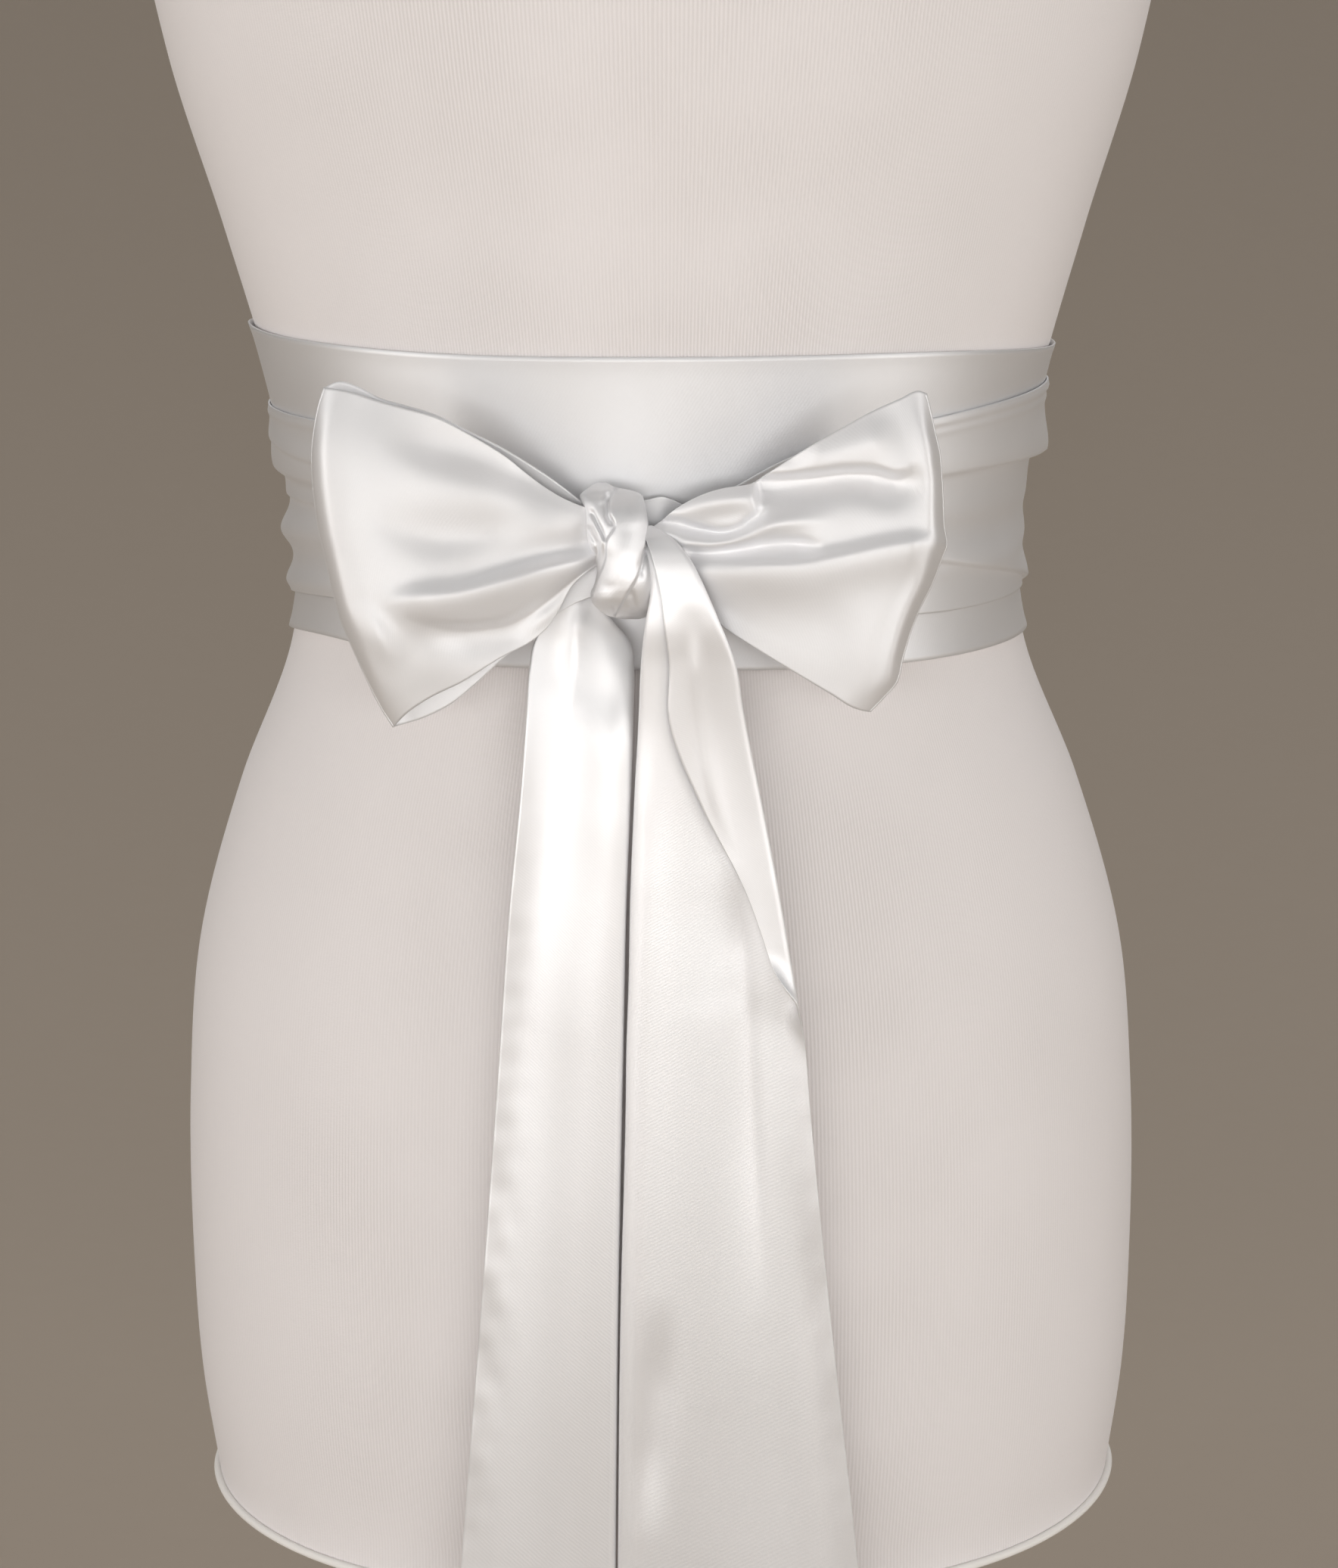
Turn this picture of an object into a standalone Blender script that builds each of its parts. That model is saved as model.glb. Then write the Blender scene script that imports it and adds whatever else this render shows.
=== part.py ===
# A long satin sash, wound twice round a limbless dress form and tied in front in a bow with two tails.
# Metres, +Z up. The bow faces -Y and the origin is the centre of the stand base's underside.
# The sash is one flat tube of cloth. Each stretch of it that shows is a thin wall of its own, and a seam
# gap parts it from the next one. Tables are in millimetres, a row for each section, rib or fold.

import math

import bpy
import numpy as np

MM = 0.001

# Sash
SASH_WIDTH = 101.6 * MM       # the tube laid flat, four inches
CLOTH_WALL = 1.2 * MM         # two layers of satin with the seam allowance between them
SEAM_GAP = 0.3 * MM
LAYER_STEP = CLOTH_WALL + SEAM_GAP
FOLD_RADIUS = 1.5 * MM        # inner turn where the cloth is folded flat on itself

# Stand
BASE_RADIUS = 150 * MM
BASE_HEIGHT = 12 * MM
BASE_EDGE = 3 * MM
POLE_RADIUS = 15 * MM
FORM_FOOT = 150 * MM          # underside of the torso above the floor

# Angles round the body are measured from the front, positive towards +X
FRONT_REACH = math.radians(124)    # where the flat front stretch ends on each side of the back
CROSSING = math.radians(180)


def table(columns, *rows):
    """Rows of millimetres, as one array in metres for each named column."""
    values = np.array(rows, dtype=float).T
    return {name: column * MM for name, column in zip(columns.split(), values)}


def shares(columns, *rows):
    """Rows of plain numbers, as one array for each named column."""
    values = np.array(rows, dtype=float).T
    return dict(zip(columns.split(), values))


def smooth_through(places, values, at):
    """A smooth curve through the table's rows: between two rows it is the cubic that has, at each of them,
    the slope of its neighbours."""
    at = np.clip(at, places[0], places[-1])
    slopes = np.gradient(values, places)
    row = np.clip(np.searchsorted(places, at, side="right") - 1, 0, len(places) - 2)
    span = places[row + 1] - places[row]
    t = (at - places[row]) / span
    start = (1 + 2 * t) * (1 - t) ** 2 * values[row] + t * (1 - t) ** 2 * span * slopes[row]
    end = t * t * (3 - 2 * t) * values[row + 1] + t * t * (t - 1) * span * slopes[row + 1]
    return start + end


def ramp(value, low, high):
    """0 below low, 1 above high, with a smooth step between them."""
    t = np.clip((value - low) / (high - low), 0.0, 1.0)
    return t * t * (3 - 2 * t)


# Dress form: half its width, and its depth before and behind the side line, at each height
FORM = table(
    "height half_width front back",
    (150, 159.5, 112, 127),
    (185, 164.5, 116, 133),
    (235, 167.0, 119, 138),
    (290, 166.5, 119, 138),
    (345, 161.5, 116, 132),
    (400, 146.0, 110, 120),
    (449, 127.2, 101, 107),
    (490, 123.0, 98, 101),
    (530, 130.5, 101, 103),
    (590, 147.0, 110, 108),
    (650, 165.0, 123, 112),
    (690, 172.5, 128, 113),
    (750, 171.0, 118, 112),
    (800, 166.0, 98, 104),
    (830, 160.0, 78, 90),
    (850, 144.0, 65, 78),
    (866, 118.0, 56, 69),
    (880, 89.0, 52, 62),
    (895, 69.0, 52, 57),
    (915, 59.5, 53, 55),
    (945, 57.0, 54, 55),
)

# Flat front stretch: at each angle round the body (degrees), its lower edge, and how much wider than the
# sash it stands where the cloth is pulled out, or narrower where it is bunched
FRONT_EDGES = shares(
    "turn lower give",
    (-124, 453, 1.4),
    (-95, 453, 4.4),
    (-60, 456, -1.6),
    (-30, 452, -0.1),
    (0, 451.5, -0.1),
    (35, 450, 0.9),
    (90, 452.5, -4.1),
    (124, 453, -0.6),
)

# Back stretch, from the side where it lies on the body to the side where it goes over the front stretch:
# its edges, and how far its folds stand out
BACK_PATH = shares(
    "turn lower upper fold_rise",
    (124, 453, 554, 0.0),
    (138, 470, 557, 1.4),
    (150, 504, 559, 2.6),
    (162, 504, 558, 2.8),
    (180, 478, 532, 2.8),
    (198, 450, 502, 2.8),
    (210, 450, 502, 2.4),
    (222, 457, 522, 1.6),
    (236, 463, 535, 0.5),
)

# Second layer, from the back round its side to the knot (degrees from the front on its own side)
WRAP_RIGHT = shares(
    "turn lower upper stand_off",
    (1.3, 489, 507, 6.5),
    (9, 483, 512, 6.0),
    (18, 474, 519, 3.0),
    (32, 467, 527, 1.0),
    (46, 465.5, 531, 0.6),
    (66, 466, 535, 0.3),
    (90, 467, 538, 0.0),
    (124, 463, 535, 0.0),
)
WRAP_LEFT = shares(
    "turn lower upper stand_off",
    (10.0, 489, 507, 6.5),
    (17, 481, 511, 5.0),
    (26, 474, 517, 2.6),
    (38, 471, 523, 1.0),
    (52, 470, 528, 0.6),
    (70, 468.5, 530, 0.3),
    (90, 466, 531.5, 0.0),
    (124, 463, 535, 0.0),
)

# Folds of the second layer: share of its height from the lower edge, rise, half width as a share, and the
# angle round the body where each is fullest
FOLDS_RIGHT = shares(
    "share rise spread fullest",
    (0.72, 5.5, 0.085, 96),
    (0.10, 2.0, 0.06, 80),
    (0.40, 1.2, 0.12, 50),
    (0.95, 1.0, 0.05, 90),
)
FOLDS_LEFT = shares(
    "share rise spread fullest",
    (0.72, 3.6, 0.10, 92),
    (0.38, 5.2, 0.085, 96),
    (0.10, 3.2, 0.07, 88),
    (0.94, 1.6, 0.05, 96),
)

# Bow loops, a row for each rib across the cloth, from the lower edge (0) to the upper edge (1): where the
# rib turns at the outer fold, where it starts at the knot, how soon it spreads, and how far it swells
LOOP_LEFT = shares(
    "share fold_x fold_y fold_z root_z spread swell_front swell_back",
    (0.00, -84.0, -122, 438.0, 487, 0.62, 5, 4),
    (0.14, -92.0, -125, 452.5, 490, 0.72, 10, 7),
    (0.31, -99.5, -127, 469.5, 493, 0.85, 13, 9),
    (0.50, -104.3, -128, 490.5, 497, 1.00, 13, 10),
    (0.68, -107.4, -128, 508.5, 502, 1.00, 14, 10),
    (0.84, -108.1, -126, 524.5, 507, 0.90, 13, 9),
    (1.00, -103.8, -121, 546.4, 512, 0.80, 6, 4),
)
LOOP_RIGHT = shares(
    "share fold_x fold_y fold_z root_z spread swell_front swell_back",
    (0.00, 68.0, -121, 441.8, 484, 0.86, 5, 4),
    (0.14, 75.5, -124, 450.5, 487, 0.90, 8, 7),
    (0.31, 83.0, -126, 471.0, 491, 1.00, 10, 9),
    (0.50, 91.4, -128, 493.5, 495, 1.00, 11, 10),
    (0.68, 90.8, -127, 509.5, 499, 1.00, 11, 10),
    (0.84, 88.0, -125, 527.0, 503, 0.95, 10, 9),
    (1.00, 82.5, -120, 543.8, 507, 0.90, 5, 4),
)
LOOP_ROOT_LEFT = (-22.2 * MM, -118.5 * MM)
LOOP_ROOT_RIGHT = (2.4 * MM, -116.0 * MM)
LOOP_ROOT_HALF = 1.8 * MM      # half the space between the loop's two layers at the knot

# Main creases in the loops' front layers: start, middle and end in X and Z, half width, rise (- is a trough)
CREASES_LEFT = shares(
    "x0 z0 x1 z1 x2 z2 width rise",
    (-26, 494, -58, 491, -88, 478, 5.0, -4.5),
    (-26, 491, -56, 480, -84, 475, 5.5, 4.5),
    (-30, 483, -56, 470, -86, 472, 5.0, -4.5),
    (-56, 521, -72, 525, -90, 529, 9.0, -3.0),
)
CREASES_RIGHT = shares(
    "x0 z0 x1 z1 x2 z2 width rise",
    (8, 493, 40, 488, 91, 495, 4.0, 4.0),
    (14, 497, 38, 496, 56, 495, 4.0, -4.0),
    (6, 506, 22, 511, 36, 507, 5.0, 4.0),
    (34, 513, 60, 518, 82, 520, 5.0, -4.5),
)

# Tails, a row for each height: left and right side as seen, depth, cloth turned under or over at a side
TAIL_LEFT = table(
    "height left right depth turned hollow",
    (72, -72.6, -18.2, -128.0, 45.0, 0.0),
    (156, -66.6, -17.0, -128.5, 45.0, 0.0),
    (244, -58.8, -15.4, -129.0, 40.0, 1.0),
    (328, -51.8, -13.0, -127.5, 36.0, 2.0),
    (381, -47.5, -11.4, -125.0, 33.0, 3.0),
    (411, -44.2, -10.4, -122.5, 31.0, 4.0),
    (441, -41.6, -8.8, -118.5, 29.0, 5.0),
    (455, -40.6, -8.8, -116.0, 26.0, 4.5),
    (467, -37.0, -12.4, -113.0, 18.0, 2.0),
    (475.5, -29.0, -16.0, -111.0, 8.0, 0.5),
)
TAIL_RIGHT = table(
    "height left right depth turned hollow flap",
    (72, -15.6, 72.4, -127.5, 14.0, 1.0, 0.0),
    (156, -14.4, 64.6, -128.0, 20.0, 2.0, 0.0),
    (244, -12.8, 55.2, -128.5, 31.0, 2.5, 0.0),
    (312, -10.6, 48.8, -127.5, 38.0, 2.5, 0.0),
    (332, -10.2, 47.2, -127.0, 40.0, 2.5, 0.8),
    (352, -9.4, 43.8, -126.5, 40.0, 2.5, 3.4),
    (382, -8.6, 38.8, -125.5, 34.0, 2.5, 8.4),
    (411, -7.2, 33.4, -125.0, 28.0, 2.0, 17.4),
    (441, -5.4, 27.6, -126.0, 22.0, 1.5, 22.0),
    (457, -4.6, 25.0, -127.5, 16.0, 1.0, 19.0),
    (471, -2.6, 19.6, -129.3, 8.0, 0.5, 12.5),
    (484, 0.4, 13.8, -129.3, 2.0, 0.0, 7.5),
    (492.5, 0.1, 8.4, -128.0, 0.6, 0.0, 2.0),
)

# Knot: a barrel of wrapped cloth, its axis along X
KNOT_CENTRE = (-9.9 * MM, -115.2 * MM, 496.0 * MM)
KNOT_HALF = (11.9 * MM, 16.6 * MM, 21.5 * MM)
KNOT_PLEATS = shares(
    "across width rise lean",
    (-0.74, 0.13, 0.08, 0.04),
    (-0.42, 0.13, 0.08, 0.08),
    (0.10, 0.30, 0.10, 0.14),
    (0.72, 0.18, 0.09, 0.03),
)


def form_depths(height):
    """The form's half width, front depth and back depth at each height."""
    return [smooth_through(FORM["height"], FORM[name], height) for name in ("half_width", "front", "back")]


def round_form(turn, height, out):
    """A point `out` outside the form: an ellipse at that height, with a depth of its own before and behind
    the side line, moved out along the ellipse's normal."""
    half, front, back = form_depths(height)
    depth = np.where(np.cos(turn) > 0, front, back)
    across, along = np.sin(turn), -np.cos(turn)
    normal = np.stack([across / half, along / depth], axis=-1)
    normal /= np.linalg.norm(normal, axis=-1, keepdims=True)
    x = half * across + out * normal[..., 0]
    y = depth * along + out * normal[..., 1]
    return np.stack([x, y, height + 0 * out], axis=-1)


def fold_waves(share, turn, folds):
    """Soft lips running round the body: for each fold a bell across the height, fading with the angle from
    where that fold is fullest."""
    rise = np.zeros_like(share)
    for place, height, spread, fullest in zip(*folds.values()):
        bell = np.exp(-((share - place) / spread) ** 2)
        fade = np.exp(-((np.degrees(turn) - fullest) / 55) ** 2)
        rise += height * MM * bell * fade
    return rise


def front_stretch(columns, rows):
    """The first layer: an even strip between its two edges, one gap off the form."""
    turn, share = np.meshgrid(np.linspace(-FRONT_REACH, FRONT_REACH, columns), np.linspace(0, 1, rows))
    degrees = np.degrees(turn)
    lower = smooth_through(FRONT_EDGES["turn"], FRONT_EDGES["lower"], degrees) * MM
    give = smooth_through(FRONT_EDGES["turn"], FRONT_EDGES["give"], degrees) * MM
    height = lower + (SASH_WIDTH + give) * share
    return round_form(turn, height, SEAM_GAP + CLOTH_WALL / 2 + 0 * height)


def back_stretch(columns, rows, hand, over):
    """A back stretch: it comes off one side, gathers, crosses the middle of the back and goes on over the
    other side. The stretch that goes under at the crossing changes its layer just past it, where the two
    strips lie one above the other. The one that goes over changes just before it. hand +1 starts at +X."""
    margin = math.radians(0.25)
    turns = np.linspace(FRONT_REACH + margin, 2 * math.pi - FRONT_REACH - margin, columns)
    turn, share = np.meshgrid(turns, np.linspace(0, 1, rows))
    degrees = np.degrees(turn)
    path = {name: smooth_through(BACK_PATH["turn"], BACK_PATH[name], degrees) for name in BACK_PATH}
    height = (path["lower"] + (path["upper"] - path["lower"]) * share) * MM
    change = math.radians(-24 if over else 24)
    layers = ramp(turn - CROSSING, change - math.radians(4), change + math.radians(4))
    folds = 0.5 - 0.5 * np.cos(2 * math.pi * 3 * share + 0.6 * hand + 0.02 * degrees)
    lift = SEAM_GAP + CLOTH_WALL / 2 + layers * (LAYER_STEP + 3.2 * MM * ramp(path["fold_rise"], 0.5, 2.4))
    return round_form(hand * turn, height, lift + path["fold_rise"] * MM * folds * (0.4 + 0.6 * (1 - layers)))


def second_layer(path, folds, columns, rows, hand):
    """The gathered stretch from the back round one side to the knot, lying on the first layer, with its
    folds raised and its end standing off to meet the knot."""
    first, last = path["turn"][0], path["turn"][-1]
    spread = np.linspace(0, 1, columns) ** 1.25
    turn, share = np.meshgrid(np.radians(first + (last - first) * spread), np.linspace(0, 1, rows))
    degrees = np.degrees(turn)
    edge = {name: smooth_through(path["turn"], path[name], degrees) for name in path}
    height = (edge["lower"] + (edge["upper"] - edge["lower"]) * share) * MM
    lift = SEAM_GAP + CLOTH_WALL / 2 + LAYER_STEP + edge["stand_off"] * MM
    return round_form(hand * turn, height, lift + fold_waves(share, turn, folds))


def crease_relief(x, z, creases):
    """The rise of hand-placed creases: each is a curve bent through its middle point, and its bell fades
    with the distance from it and towards its two ends."""
    relief = np.zeros_like(x)
    t = np.linspace(0, 1, 15)
    weights = ((1 - t) ** 2, 2 * t * (1 - t), t * t)
    for x0, z0, x1, z1, x2, z2, width, rise in zip(*creases.values()):
        line_x = (weights[0] * x0 + weights[1] * x1 + weights[2] * x2) * MM
        line_z = (weights[0] * z0 + weights[1] * z1 + weights[2] * z2) * MM
        square = (x[..., None] - line_x) ** 2 + (z[..., None] - line_z) ** 2
        fade = np.sin(math.pi * np.clip(t, 0.12, 0.88)) ** 0.7
        relief += rise * MM * np.max(fade * np.exp(-square / (width * MM) ** 2), axis=-1)
    return relief


def bow_loop(ribs, creases, root, columns, rows):
    """One loop of the bow. A rib leaves the knot as the back layer, turns at the outer fold and comes back
    as the front layer. Its reach is one less the square of its place along the rib, so that the fold is
    round, and the two layers swell apart between the knot and the fold."""
    along, share = np.meshgrid(np.linspace(-1, 1, columns), np.linspace(0, 1, rows))
    rib = {name: smooth_through(ribs["share"], ribs[name], share) for name in ribs}
    reach = 1 - along ** 2
    root_x, root_y = root
    x = root_x + (rib["fold_x"] * MM - root_x) * reach
    z = rib["root_z"] * MM + (rib["fold_z"] - rib["root_z"]) * MM * (1e-9 + reach) ** rib["spread"]
    middle = root_y + (rib["fold_y"] * MM - root_y) * reach
    swell = np.where(along > 0, rib["swell_front"], rib["swell_back"]) * MM
    thick = 2.0 * swell * np.abs(along) * (1e-9 + reach) ** 0.8
    thick += LOOP_ROOT_HALF * ramp(np.abs(along), 0.0, 0.35)
    relief = crease_relief(x, z, creases) * ramp(along, 0.12, 0.45)
    raised = thick + relief
    least = LOOP_ROOT_HALF
    raised = 0.5 * (raised + least + np.sqrt((raised - least) ** 2 + (2 * MM) ** 2 * ramp(along, 0.1, 0.4)))
    return np.stack([x, middle - np.sign(along) * np.where(along > 0, raised, thick), z], axis=-1)


def folded_strip(tail, hand):
    """A hanging tail. Across each height the cloth is walked along in short steps: behind, where it is
    turned under, round a half turn, along the part that shows, and round again into a flap in front where
    the table gives one. A shallow wave across the width, the same for every layer, keeps the layers apart.
    hand +1 has the turned part behind the left side, -1 behind the right side."""
    sections = np.arange(len(tail["height"]))
    heights = smooth_through(sections, tail["height"], np.linspace(0, sections[-1], 2 * len(sections) - 1))
    at = {name: smooth_through(tail["height"], tail[name], heights)[:, None] for name in tail}
    round_length = math.pi * FOLD_RADIUS
    width = at["right"] - at["left"]
    flap = at.get("flap", 0 * width)
    turns_over = math.pi * ramp(flap, 0.4 * MM, 5 * MM)
    # each stretch of the walk: its length, its direction at its start and end, and its number of steps
    walk = [
        (at["turned"], math.pi, math.pi, 3),
        (round_length + 0 * width, math.pi, 0.0, 4),
        (width - 2 * FOLD_RADIUS, 0.0, 0.0, 6),
    ]
    if "flap" in tail:
        walk.append((round_length + 0 * width, 0.0, turns_over, 4))
        walk.append((flap + 0.6 * MM, turns_over, turns_over, 3))
    steps_x, steps_out = [0 * width], [0 * width]
    for length, start, end, count in walk:
        share = (np.arange(count)[None, :] + 0.5) / count
        heading = start + (end - start) * share
        steps_x.append(length / count * np.cos(heading))
        steps_out.append(length / count * np.sin(heading))
    x = np.cumsum(np.concatenate(steps_x, axis=1), axis=1)
    out = np.cumsum(np.concatenate(steps_out, axis=1), axis=1) - 2 * FOLD_RADIUS
    low, high = x.min(axis=1, keepdims=True), x.max(axis=1, keepdims=True)
    across = (x - low) / (high - low)
    wave = at["hollow"] * np.sin(2 * math.pi * across + 0.5)
    side = at["left"] if hand > 0 else at["right"]
    points = [side + hand * width * across, at["depth"] - out - wave, heights[:, None] + 0 * x]
    return np.stack(points, axis=-1)


def knot_barrel(columns, rows):
    """The knot: an egg-shaped barrel whose surface is raised in leaning pleats that run round it from top
    to bottom."""
    turn, across = np.meshgrid(np.linspace(0, 2 * math.pi, columns, endpoint=False), np.linspace(-1, 1, rows))
    across = np.sin(across * math.pi / 2)
    ring = (1 - np.abs(across) ** 2.6) ** 0.5
    pleat = np.zeros_like(ring)
    in_front = ramp(np.cos(turn), -0.8, 0.0)
    for place, width, rise, lean in zip(*KNOT_PLEATS.values()):
        pleat += rise * np.exp(-((across - place - lean * np.sin(turn)) / width) ** 2)
    swell = ring * (0.92 + pleat * in_front)
    x = KNOT_CENTRE[0] + KNOT_HALF[0] * across
    y = KNOT_CENTRE[1] - KNOT_HALF[1] * swell * np.cos(turn)
    z = KNOT_CENTRE[2] - KNOT_HALF[2] * swell * np.sin(turn)
    return np.stack([x, y, z], axis=-1)


def grid_faces(rows, columns, wraps=False):
    """Quads between neighbouring points of a grid, with the last column joined to the first if it wraps."""
    index = np.arange(rows * columns).reshape(rows, columns)
    right = np.roll(index, -1, axis=1) if wraps else index[:, 1:]
    left = index if wraps else index[:, :-1]
    return np.stack([left[:-1], right[:-1], right[1:], left[1:]], axis=-1).reshape(-1, 4)


def finish(name, vertices, faces, material, collection):
    """A named object from points and faces, with its faces pointing out."""
    mesh = bpy.data.meshes.new(name)
    mesh.from_pydata(vertices.tolist(), [], [list(face) for face in faces])
    mesh.validate()
    mesh.materials.append(material)
    mesh.shade_smooth()
    mesh.set_sharp_from_angle(angle=math.radians(50))
    thing = bpy.data.objects.new(name, mesh)
    collection.objects.link(thing)
    return thing


def cloth_piece(name, points, material, collection):
    """A cloth wall: the grid is its middle surface, and Solidify gives it the cloth's thickness."""
    rows, columns = points.shape[:2]
    piece = finish(name, points.reshape(-1, 3), grid_faces(rows, columns), material, collection)
    wall = piece.modifiers.new("wall", "SOLIDIFY")
    wall.thickness = CLOTH_WALL
    wall.offset = 0.0
    return piece


def closed_piece(name, points, material, collection):
    """A closed body of stacked rings, each end shut by a fan about a middle point."""
    rows, columns = points.shape[:2]
    faces = grid_faces(rows, columns, wraps=True).tolist()
    low, high = rows * columns, rows * columns + 1
    middles = [points[0].mean(axis=0), points[-1].mean(axis=0)]
    vertices = np.concatenate([points.reshape(-1, 3), middles])
    last = (rows - 1) * columns
    for step in range(columns):
        follow = (step + 1) % columns
        faces.append([low, follow, step])
        faces.append([high, last + step, last + follow])
    return finish(name, vertices, faces, material, collection)


def plain_material(name, colour, roughness, metallic=0.0):
    material = bpy.data.materials.new(name)
    material.use_nodes = True
    shader = material.node_tree.nodes["Principled BSDF"]
    shader.inputs["Base Color"].default_value = (*colour, 1.0)
    shader.inputs["Roughness"].default_value = roughness
    shader.inputs["Metallic"].default_value = metallic
    return material


def build_sash(material, collection):
    cloth_piece("sash_front", front_stretch(columns=41, rows=8), material, collection)
    for name, hand, over in (("sash_back_under", 1, False), ("sash_back_over", -1, True)):
        cloth_piece(name, back_stretch(27, 10, hand, over), material, collection)
    for name, path, folds, hand in (("sash_wrap_right", WRAP_RIGHT, FOLDS_RIGHT, 1),
                                    ("sash_wrap_left", WRAP_LEFT, FOLDS_LEFT, -1)):
        cloth_piece(name, second_layer(path, folds, 26, 13, hand), material, collection)


def build_bow(material, collection):
    left = bow_loop(LOOP_LEFT, CREASES_LEFT, LOOP_ROOT_LEFT, columns=25, rows=12)
    right = bow_loop(LOOP_RIGHT, CREASES_RIGHT, LOOP_ROOT_RIGHT, columns=25, rows=12)
    cloth_piece("bow_loop_left", left, material, collection)
    cloth_piece("bow_loop_right", right, material, collection)
    closed_piece("knot", knot_barrel(columns=26, rows=17), material, collection)
    cloth_piece("tail_left", folded_strip(TAIL_LEFT, hand=-1), material, collection)
    cloth_piece("tail_right", folded_strip(TAIL_RIGHT, hand=1), material, collection)


def build_form(material, collection):
    """The torso: an elliptical ring at each height, closer together under the sash and at the shoulders."""
    stretches = ((150, 440, 9), (440, 570, 13), (570, 800, 8), (800, 945, 11))
    heights = np.unique(np.concatenate([np.linspace(*stretch) for stretch in stretches])) * MM
    turn, height = np.meshgrid(np.linspace(0, 2 * math.pi, 34, endpoint=False), heights)
    rings = round_form(turn, height, 0 * height)
    closed_piece("dress_form", rings, material, collection)


def build_stand(material, collection):
    bpy.ops.mesh.primitive_cylinder_add(vertices=40, radius=BASE_RADIUS, depth=BASE_HEIGHT,
                                        location=(0, 0, BASE_HEIGHT / 2))
    base = bpy.context.object
    edge = base.modifiers.new("edge", "BEVEL")
    edge.width = BASE_EDGE
    edge.segments = 1
    pole_foot, pole_top = BASE_HEIGHT + SEAM_GAP, FORM_FOOT - SEAM_GAP
    bpy.ops.mesh.primitive_cylinder_add(vertices=24, radius=POLE_RADIUS, depth=pole_top - pole_foot,
                                        location=(0, 0, (pole_foot + pole_top) / 2))
    pole = bpy.context.object
    for thing, name in ((base, "stand_base"), (pole, "stand_pole")):
        thing.name = name
        thing.data.materials.append(material)
        for owner in list(thing.users_collection):
            owner.objects.unlink(thing)
        collection.objects.link(thing)


def main():
    for thing in list(bpy.data.objects):
        bpy.data.objects.remove(thing)
    collection = bpy.data.collections.new("satin_sash_on_dress_form")
    bpy.context.scene.collection.children.link(collection)
    cloth = plain_material("ivory_satin", (0.86, 0.85, 0.80), roughness=0.34)
    build_sash(cloth, collection)
    build_bow(cloth, collection)
    build_form(plain_material("cream_jersey", (0.76, 0.70, 0.63), roughness=0.9), collection)
    build_stand(plain_material("pale_enamel", (0.62, 0.58, 0.53), roughness=0.45), collection)


main()
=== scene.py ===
import math

import bpy
import numpy as np
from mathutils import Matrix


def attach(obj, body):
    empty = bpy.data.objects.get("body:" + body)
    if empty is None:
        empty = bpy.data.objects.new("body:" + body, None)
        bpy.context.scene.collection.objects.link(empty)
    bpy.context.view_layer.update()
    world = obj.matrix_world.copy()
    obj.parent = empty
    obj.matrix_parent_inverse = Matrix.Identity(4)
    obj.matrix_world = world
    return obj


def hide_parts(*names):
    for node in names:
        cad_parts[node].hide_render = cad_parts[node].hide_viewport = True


# A long satin sash wound twice round a limbless dress form and tied in front in a bow.
# Tables and formulas are in millimetres, and putInScene turns them into metres. The bow faces -Y, +Z is up.
# Angles round the body are measured from the front, positive towards +X.

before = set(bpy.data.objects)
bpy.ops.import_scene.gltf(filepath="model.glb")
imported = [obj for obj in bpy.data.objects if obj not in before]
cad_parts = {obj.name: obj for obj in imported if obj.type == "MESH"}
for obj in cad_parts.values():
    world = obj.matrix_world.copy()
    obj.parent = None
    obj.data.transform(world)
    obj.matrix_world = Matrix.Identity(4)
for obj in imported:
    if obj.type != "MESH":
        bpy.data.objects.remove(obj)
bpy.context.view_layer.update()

sashWidth = 101.6
clothThickness = 0.7
millimetre = 0.001


# Curves and fields

def rowsOf(names, *lines):
    # the lines of a table as one array for each named column
    return dict(zip(names.split(), np.array(lines, dtype=float).T))


def smoothThrough(places, values, at):
    # between two rows of a table: the cubic that has, at each of them, the slope of its neighbours
    at = np.clip(at, places[0], places[-1])
    slopes = np.gradient(values, places)
    row = np.clip(np.searchsorted(places, at, side="right") - 1, 0, len(places) - 2)
    span = places[row + 1] - places[row]
    t = (at - places[row]) / span
    start = (1 + 2 * t) * (1 - t) ** 2 * values[row] + t * (1 - t) ** 2 * span * slopes[row]
    end = t * t * (3 - 2 * t) * values[row + 1] + t * t * (t - 1) * span * slopes[row + 1]
    return start + end


def ease(value, low, high):
    # 0 below low, 1 above high, a smooth step between them
    t = np.clip((value - low) / (high - low), 0.0, 1.0)
    return t * t * (3 - 2 * t)


def alongLine(points, at):
    # a smooth curve through points in X and Z, at shares 0 to 1 of its length
    points = np.array(points, dtype=float)
    steps = np.hypot(*np.diff(points, axis=0).T)
    places = np.concatenate([[0], np.cumsum(steps)]) / steps.sum()
    return np.stack([smoothThrough(places, points[:, 0], at), smoothThrough(places, points[:, 1], at)], axis=-1)


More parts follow.
